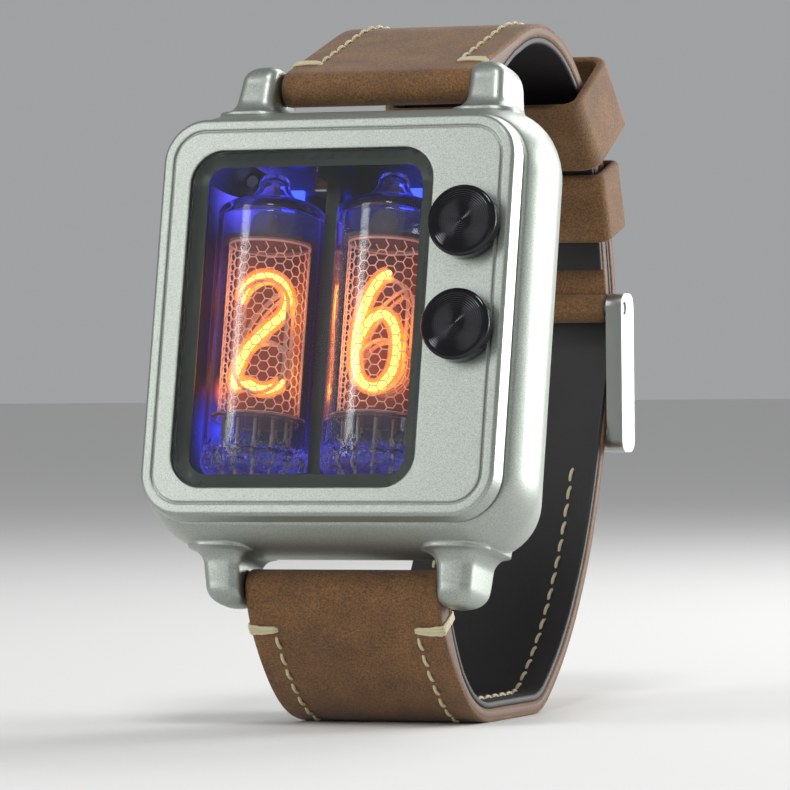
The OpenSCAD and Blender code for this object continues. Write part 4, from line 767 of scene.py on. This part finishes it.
# The rounded tip lies over the buckle's half: the gap between them, and from where to where
TAIL_GAP, TAIL_SKIP, TAIL_L = 0.12, 1.4, 31.0
NOSE_L, NOSE_END = 8.0, 0.45
HOLE_R, HOLES_FROM_TIP = 1.0, (12, 18.5)
# Both halves in side view as (length, turn in degrees), from the heading at which they leave the
# spring bars. The watch stands on the lower half's flat run.
FLAT_L = 14.6
UPPER_RISE, UPPER_RUNS = 17.5, [(16.3, 0), (29.3, -81.5), (22.8, -20)]
LOWER_HANG = -80
LOWER_RUNS = [(5.5, 22), (9.8, 18), (9.6, 40), (FLAT_L, 0), (5, 32), (24, 30), (13.5, 9.5)]
STEP = 0.5


def run_line(start, heading, runs):
    """A side view of points (back, up, heading), about STEP apart.

    Each run is a length that turns by an angle evenly. A step goes along the mean of the headings
    at its two ends.
    """
    counts = [int(round(length / STEP)) for length, _ in runs]
    steps, bends = (np.repeat([run[n] / count for run, count in zip(runs, counts)], counts) for n in (0, 1))
    turns = heading + np.r_[0, np.cumsum(bends)]
    middle = np.radians((turns[1:] + turns[:-1]) / 2)
    y = start[0] + np.r_[0, np.cumsum(steps * np.cos(middle))]
    z = start[1] + np.r_[0, np.cumsum(steps * np.sin(middle))]
    return np.column_stack([y, z, turns])


def ahead(heading):
    """The direction (back, up) of a heading in degrees: its cosine and sine."""
    return np.stack([np.cos(np.radians(heading)), np.sin(np.radians(heading))], -1)


def beside(line, distance):
    """The line moved to the left of its heading."""
    return np.column_stack([line[:, :2] + distance * ahead(line[:, 2] + 90), line[:, 2]])


def lengths(line):
    """Distance travelled at each point: the sum of the steps up to it."""
    return np.r_[0, np.cumsum(np.linalg.norm(np.diff(line[:, :2], axis=0), axis=1))]


def line_at(half, at):
    """The points (back, up, heading) at these lengths, in proportion between their neighbours."""
    line, s, _ = half
    return np.column_stack([np.interp(at, s, line[:, k]) for k in range(3)])


def fold_start(bar, heading, side):
    """Where a half leaves its fold: FOLD_R from the bar's middle, square to the heading."""
    return bar[1:] + side * FOLD_R * ahead(heading + 90)


def bend(a, b, pull, count):
    """A cubic curve from a to b that leaves and arrives along their headings.

    Its two inner control points lie out along these, pull times the distance from a to b.
    """
    reach = pull * np.linalg.norm(b[:2] - a[:2])
    p = [a[:2], a[:2] + reach * ahead(a[2]), b[:2] - reach * ahead(b[2]), b[:2]]
    t = np.linspace(0, 1, count)[1:-1, None]
    xy = (1 - t) ** 3 * p[0] + 3 * (1 - t) ** 2 * t * p[1] + 3 * (1 - t) * t ** 2 * p[2] + t ** 3 * p[3]
    d = 3 * (1 - t) ** 2 * (p[1] - p[0]) + 6 * (1 - t) * t * (p[2] - p[1]) + 3 * t ** 2 * (p[3] - p[2])
    return np.column_stack([xy, np.degrees(np.arctan2(d[:, 1], d[:, 0]))])


upper_line = run_line(fold_start(bar_up, UPPER_RISE, 1), UPPER_RISE, UPPER_RUNS)
lower_first = run_line(fold_start(bar_low, LOWER_HANG, -1), LOWER_HANG, LOWER_RUNS)
over_upper = beside(upper_line, STRAP_T + TAIL_GAP)[::-1] + [0, 0, 180]
run = lengths(over_upper)
tail = over_upper[(run > TAIL_SKIP) & (run < TAIL_L)]
lower_line = np.concatenate([lower_first, bend(lower_first[-1], tail[0], pull=0.38, count=40), tail])
# Each half is its outer face's line, the lengths along it, and the side of the line on which its
# inside lies: 1 to the left of the heading, -1 to the right
UPPER = (upper_line, lengths(upper_line), -1)
LOWER = (lower_line, lengths(lower_line), 1)
TIP = LOWER[1][-1]


def taper(s):
    """Full strap width at a length s: even over EVEN_L, then narrowing in line over TAPER_L."""
    return STRAP_W + (STRAP_END_W - STRAP_W) * np.clip((s - EVEN_L) / TAPER_L, 0, 1)


def nose(s):
    """Share of the width left near the tip: a quarter circle over NOSE_L, down to NOSE_END."""
    t = np.clip((s - TIP + NOSE_L) / NOSE_L, 0, 1)
    return NOSE_END + (1 - NOSE_END) * np.sqrt(1 - t ** 2)


def hide_at(s):
    """Thickness of the leather: the whole fold less the lining, skived down in line over SKIVE."""
    return LEATHER + (2 * FOLD_R - LEATHER - LINING) * np.clip(1 - s / SKIVE, 0, 1)


def beneath(line, x, depth, side):
    """Points at x across the strap and a depth under its outer face, one row for each line point."""
    place = line[:, None, :2] + side * depth[..., None] * ahead(line[:, 2] + 90)[:, None]
    return np.concatenate([x[..., None], place], -1)


def band(line, widths, top, low, side, edge=0.38):
    """A strip with round edges carried along the line, on one side of it, from depth top to low."""
    ring, _ = rounded(widths / 2, (low - top) / 2, np.minimum(edge, 0.48 * (low - top)), 6)
    depth = (top + low)[:, None] / 2 - ring[..., 1]
    return grid(capped(beneath(line, ring[..., 0], depth, side)))


def wrapped(half, bar):
    """The line led back round the bar, where it turns half a circle, and on along the inner face.

    Returns the whole line and the thickness of the leather on its added part.
    """
    line, _, side = half
    t = np.arange(LINING_FROM, 0.2, -STEP)
    q = line_at(half, t)
    inner = beneath(q, np.zeros((len(t), 1)), (hide_at(t) + LINING)[:, None], side)[:, 0]
    inner = np.column_stack([inner[:, 1:], q[:, 2] - side * 180])
    heading = line[0, 2] - side * np.linspace(180, 0, 19)[:-1]
    arc = np.column_stack([bar[1:] - side * FOLD_R * ahead(heading + 90), heading])
    thick = np.r_[np.full(len(t), LINING + 0.1), np.full(len(arc), FOLD_R - FOLD_HOLE)]
    return np.concatenate([inner, arc, line]), thick


def roll(at, x_from, x_to, edge=0.4):
    """A roll of leather round the buckle's bar: a ring's section whose outer edges are eased."""
    t = np.radians(np.linspace(0, 90, 5))
    r, ease = BUCKLE_FOLD_R - edge, edge * (1 - np.cos(t))
    profile = np.concatenate([
        [(BUCKLE_HOLE, x_from)], np.column_stack([r + edge * np.sin(t), x_from + ease]),
        np.column_stack([r + edge * np.cos(t), x_to - edge * (1 - np.sin(t))]), [(BUCKLE_HOLE, x_to)]])
    spun = turned(profile, 48)
    return grid(np.stack([spun[..., 1], at[0] + spun[..., 0], at[1] + spun[..., 2]], -1), True)


def peg(at, radius, reach):
    """A round peg square through the lower strap at a length, standing out by reach on both sides."""
    a = np.linspace(0, 2 * np.pi, 40, endpoint=False)
    q = line_at(LOWER, at)
    ends = [beneath(q, radius * np.cos(a)[None], np.full((1, 40), depth), 1)[0]
            for depth in (-reach, STRAP_T + reach)]
    return grid(capped(np.stack(ends) + radius * np.sin(a)[:, None] * np.r_[0, ahead(q[0, 2])]))


def slot_through(at, half_w, above, below, inner, outer):
    """A bar along y that clears a slot of this half width, from above to below a point (y, z)."""
    ring, _ = rounded(half_w, (above + below) / 2, 0.4, 5)
    x, z = ring[0][:, 0], at[1] + (above - below) / 2 + ring[0][:, 1]
    ends = [np.column_stack([x, np.full(len(x), at[0] + d), z]) for d in (-inner, outer)]
    return grid(capped(np.stack(ends)))


def cut_out(piece, shape):
    """Takes a closed shape out of a piece's mesh for good."""
    tool = made("tool", shape, piece.data.materials[0], body=None)
    cut = piece.modifiers.new("cut", "BOOLEAN")
    cut.operation, cut.solver, cut.object = "DIFFERENCE", "EXACT", tool
    result = bpy.data.meshes.new_from_object(piece.evaluated_get(bpy.context.evaluated_depsgraph_get()))
    piece.modifiers.remove(cut)
    piece.data = result
    result.set_sharp_from_angle(angle=SHARP)
    bpy.data.objects.remove(tool)


# Sanded cowhide: matt and velvety, in cloudy browns. Its nap is finer than 0.1 mm, and is drawn as
# specks of 0.22 mm and a grain of 0.3 mm so that it shows.
nubuck = finish("brown_nubuck", "#7A5632", Roughness=0.85, Sheen_Weight=0.12, Sheen_Roughness=0.5)
tone = mottle(nubuck, 4.0, "#62452A", "#775430", 0.3, 0.7, 5.0)
speck = add_node(nubuck, "MapRange", {"Value": blots(nubuck, 0.22, 3.0), "From Min": 0.3, "From Max": 0.7,
                                      "To Min": 0.55, "To Max": 1.5})
speckled = add_node(nubuck, "VectorMath", {0: tone, "Scale": speck.outputs["Result"]}, operation="SCALE")
feed(nubuck, "Base Color", speckled.outputs["Vector"])
grain(nubuck, size=0.3, height=0.05, detail=3.0)
# Smooth split leather dyed black, with a faint gloss
lining_black = finish("black_lining_leather", "#1B1718", Roughness=0.55)
grain(lining_black, size=0.5, height=0.04)
# Edge paint in two coats: a reddish brown with a slight gloss and soft waves
edge_paint = finish("painted_edge", "#5E3F29", Roughness=0.55)
grain(edge_paint, size=0.8, height=0.05)

buckle_at = np.mean(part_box("buckle_bar"), axis=0)[1:] / MM
end_rolls = [roll(buckle_at, *sorted((i * NOTCH, i * STRAP_END_W / 2))) for i in (-1, 1)]
openings = joined(*(peg(TIP - back, HOLE_R, reach=1) for back in HOLES_FROM_TIP),
                  slot_through(buckle_at, NOTCH, above=0.6, below=8.8, inner=3, outer=6))
for which, half, bar, tip, stop, rolls in (("upper", UPPER, bar_up, lambda s: 1, LINING_STOP, end_rolls),
                                           ("lower", LOWER, bar_low, nose, 0, [])):
    line, s, side = half
    w, thick = taper(s) * tip(s), hide_at(s)
    round_bar, extra = wrapped(half, bar)
    deep = np.r_[extra, np.where(s < FOLD_HOLE, FOLD_R - FOLD_HOLE, thick)]
    wide = np.r_[np.full(len(extra), STRAP_W), w]
    keep = (s > LINING_FROM) & (s < s[-1] - stop)
    line, w, thick = line[keep], w[keep], thick[keep]
    paint = band(round_bar, wide + PAINT_PROUD, PAINT_TOP + 0 * deep, deep - PAINT_LOW, side)
    under = band(line, w - LINING_IN, thick - LINING_LAP, thick + LINING, side, edge=0.3)
    layers = [
        made("hide_" + which, joined(band(round_bar, wide, 0 * deep, deep, side), *rolls), nubuck,
             stands_for="strap_" + which),
        made("edge_paint_" + which, paint, edge_paint),
        made("black_lining_" + which, under, lining_black, stands_for="lining_" + which)]
    if which == "lower":
        for layer in layers:
            cut_out(layer, openings)


# ---------- stitching ----------
# Waxed linen thread. Two rows hold the lining, and at each lug a few turns are taken over the
# strap's edge and end in the first hole of the row.
PITCH, STITCH = 2.4, 0.82
THREAD_R = 0.2
ROW_IN = 3.1
# Where the tacks and rows are, as lengths from each fold
UPPER_TACK, UPPER_ROW = 3.2, (4.2, 32)
LOWER_TACK, INNER_ROW_FROM, ROW_END = 4.7, 14, 78
# A stitch's height over the leather along its length: its ends dive in. It lies this much askew.
SAG = np.array([0.22, 0.02, -0.13, -0.2, -0.2, -0.13, 0.02, 0.22])
ASKEW = 0.12
# A turn of the tack from its hole to the edge, as the distance in from the edge and the depth
TACK = np.array([(3.5, 0.35), (3.3, 0.05), (2.9, -0.14), (2.2, -0.17), (1.4, -0.16), (0.8, -0.13)])
TACK_TURNS, TACK_R = 4, 0.19
TACK_EASE, TACK_PROUD = 0.35, 0.09
# How far apart its turns lie over the edge, and how far they stray from that
TACK_SPREAD, TACK_STRAY = 0.3, 0.05


def on_strap(half, at, x, depth):
    """Points in space for lengths, x places and depths on a half of the strap."""
    return beneath(line_at(half, at), x[:, None], depth[:, None], half[2])[:, 0]


def row(half, first, last, inner=False):
    """Both rows of stitches: short threads, a little askew, whose ends dive into the leather.

    The inner ones lie on the lining, and the others on the hide.
    """
    parts = []
    for at in np.arange(first, last, PITCH):
        s = at + np.linspace(0, STITCH * PITCH, len(SAG))
        level = hide_at(s) + LINING - SAG if inner else SAG
        for x_side in (-1, 1):
            x = x_side * (taper(s) / 2 - ROW_IN) + np.linspace(-ASKEW, ASKEW, len(SAG))
            parts.append(tube_along(on_strap(half, s, x, level), THREAD_R, RIGHT))
    return joined(*parts)


def tack(half, at):
    """Turns of thread that fan out of one hole, go over the strap's edge and into one inner hole.

    Round the edge each turn takes two quarter circles, TACK_PROUD off the leather.
    """
    thick = hide_at(at) + (LINING if at > LINING_FROM else 0)
    a = np.radians(np.linspace(0, 90, 6))
    r = TACK_EASE + TACK_PROUD
    x = taper(at) / 2 - np.r_[TACK[:, 0], TACK_EASE - r * np.sin(a), TACK_EASE - r * np.cos(a), 1.2, 2.4]
    depth = np.r_[TACK[:, 1], TACK_EASE - r * np.cos(a), thick - TACK_EASE + r * np.sin(a),
                  thick + 0.1, thick - 0.2]
    n = np.arange(len(x))
    fan = np.interp(n, [0, 2, 6, n[-2], n[-1]], [0.1, 0.55, 1, 1, 0.3])
    along = np.r_[0, ahead(line_at(half, at)[0, 2])]
    parts = []
    for turn in range(TACK_TURNS):
        place = TACK_SPREAD * (turn - (TACK_TURNS - 1) / 2) * fan
        s = at + place + TACK_STRAY * np.sin(2.1 * n + 2 * turn)
        for x_side in (-1, 1):
            path = on_strap(half, s, x_side * x, depth - TACK_STRAY * (turn % 2))
            parts.append(tube_along(path, TACK_R, along))
    return joined(*parts)


# Twisted linen rubbed with beeswax: cream, and ribbed by its twist
thread = finish("waxed_linen_thread", "#C9BE9C", Roughness=0.6)
grain(thread, size=0.15, height=0.08)
FLAT_FROM = sum(length for length, _ in LOWER_RUNS[:3])
made("stitching_upper", joined(tack(UPPER, UPPER_TACK), row(UPPER, *UPPER_ROW)), thread,
     stands_for="stitches_upper")
# The outer row leaves out the flat run, on which the watch stands
lower = joined(tack(LOWER, LOWER_TACK), row(LOWER, LOWER_TACK + 0.9, FLAT_FROM - 3.5),
               row(LOWER, FLAT_FROM + FLAT_L + 3, ROW_END), row(LOWER, INNER_ROW_FROM, ROW_END, inner=True))
made("stitching_lower", lower, thread, stands_for="stitches_lower")


# ---------- keepers ----------
# Two loops of the strap's leather, closed into rings. One is fixed by the buckle and the other
# slides on the strap, where it leans a little.
KEEPER_T = 1.1
KEEPER_IN = STRAP_END_W + 1.2
KEEPER_EDGE = 0.5


def keeper(at, width, low, high, tilt, corner):
    """A loop whose panels are tilted while its ends stay square to the strap.

    A point at a height up of the tilted frame lies (along + up sin(tilt)) / cos(tilt) on its other
    axis to stand at this distance along the strap.
    """
    q = line_at(UPPER, at)[0]
    path, out = rounded((KEEPER_IN + KEEPER_T) / 2, (low + high + KEEPER_T) / 2, corner + KEEPER_T / 2, 12)
    section, _ = rounded(KEEPER_T / 2, width / 2, KEEPER_EDGE, 6)
    ring = path[0][:, None] + out[0][:, None] * section[0][None, :, :1]
    up = ring[..., 1] + (high - low) / 2
    lean = np.radians(tilt)
    along = (section[0][None, :, 1] + up * np.sin(lean)) / np.cos(lean)
    place = q[:2] + along[..., None] * ahead(q[2] + tilt) + up[..., None] * ahead(q[2] + tilt + 90)
    return grid(np.concatenate([ring[..., :1], place], -1), close_rows=True)


made("keeper_loop_fixed", keeper(at=55.3, width=8.4, low=STRAP_T + 0.25, high=STRAP_T + TAIL_GAP + 0.25,
                                 tilt=0, corner=0.3),
     nubuck, stands_for="keeper_fixed")
made("keeper_loop_free", keeper(at=44.3, width=10.2, low=STRAP_T + 2.3, high=STRAP_T + TAIL_GAP + 3.7,
                                tilt=14, corner=1.2),
     nubuck, "keeper_free_body", stands_for="keeper_free")


# ---------- buckle ----------
# A cast steel frame on a turned bar with a flat tongue. The strap's buckle end is folded round
# the bar.
def eased(name, width):
    """Rounds a CAD node's edges by width mm, once its loose triangles are merged."""
    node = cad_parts[name]
    weld = node.modifiers.new("merge", "WELD")
    weld.merge_threshold = 0.0005 * MM
    bevel = node.modifiers.new("ease", "BEVEL")
    bevel.width = width * MM
    bevel.segments = 3
    bevel.limit_method = "ANGLE"
    bevel.angle_limit = np.radians(35)
    bevel.use_clamp_overlap = True


# Satin polished: grey-white, with broad soft reflections
satin = finish("satin_steel", "#B4B6B4", Metallic=1.0, Roughness=0.34)
wear(satin, "buckle_frame", "buckle_bar", "buckle_tongue")
eased("buckle_frame", 0.45)
eased("buckle_tongue", 0.2)


# ---------- floor, lights and background ----------
# A plain pale floor, a pale room and plain soft light: four large lamps, the key one from the
# front left and the strongest from behind at the right.
SPAN = 3000 * MM
floor_mesh = bpy.data.meshes.new("floor")
floor_mesh.from_pydata([(x * SPAN, y * SPAN, 0) for x, y in ((-1, -1), (1, -1), (1, 1), (-1, 1))], [],
                       [(0, 1, 2, 3)])
# Painted board: pale, even and nearly matt
floor_mesh.materials.append(finish("pale_floor", "#E4E4E2", Roughness=0.7))
placed("floor", floor_mesh)

# A pale room all round gives the shadows their light
world = bpy.data.worlds.new("room")
bpy.context.scene.world = world
world.use_nodes = True
sky = world.node_tree.nodes["Background"]
sky.inputs["Color"].default_value = linear("#F2F3F5")
sky.inputs["Strength"].default_value = 0.4
WATCH_MIDDLE = Vector((0, 0, 40))


def lamp(name, at, size, power):
    """An area light of a width and height, turned to the watch; lengths in mm, power in watts."""
    data = bpy.data.lights.new(name, "AREA")
    data.shape = "RECTANGLE"
    data.size, data.size_y = (v * MM for v in size)
    data.energy = power
    light = placed(name, data)
    light.location = Vector(at) * MM
    light.rotation_euler = (WATCH_MIDDLE - Vector(at)).to_track_quat("-Z", "Y").to_euler()


lamp("key", (-430, -540, 265), (210, 560), 1.8)
lamp("top", (137, -398, 600), (150, 150), 1.7)
lamp("side", (400, 430, 150), (300, 300), 3.4)
lamp("back", (100, 450, 400), (300, 300), 1.2)

bpy.context.scene.view_settings.view_transform = "Standard"
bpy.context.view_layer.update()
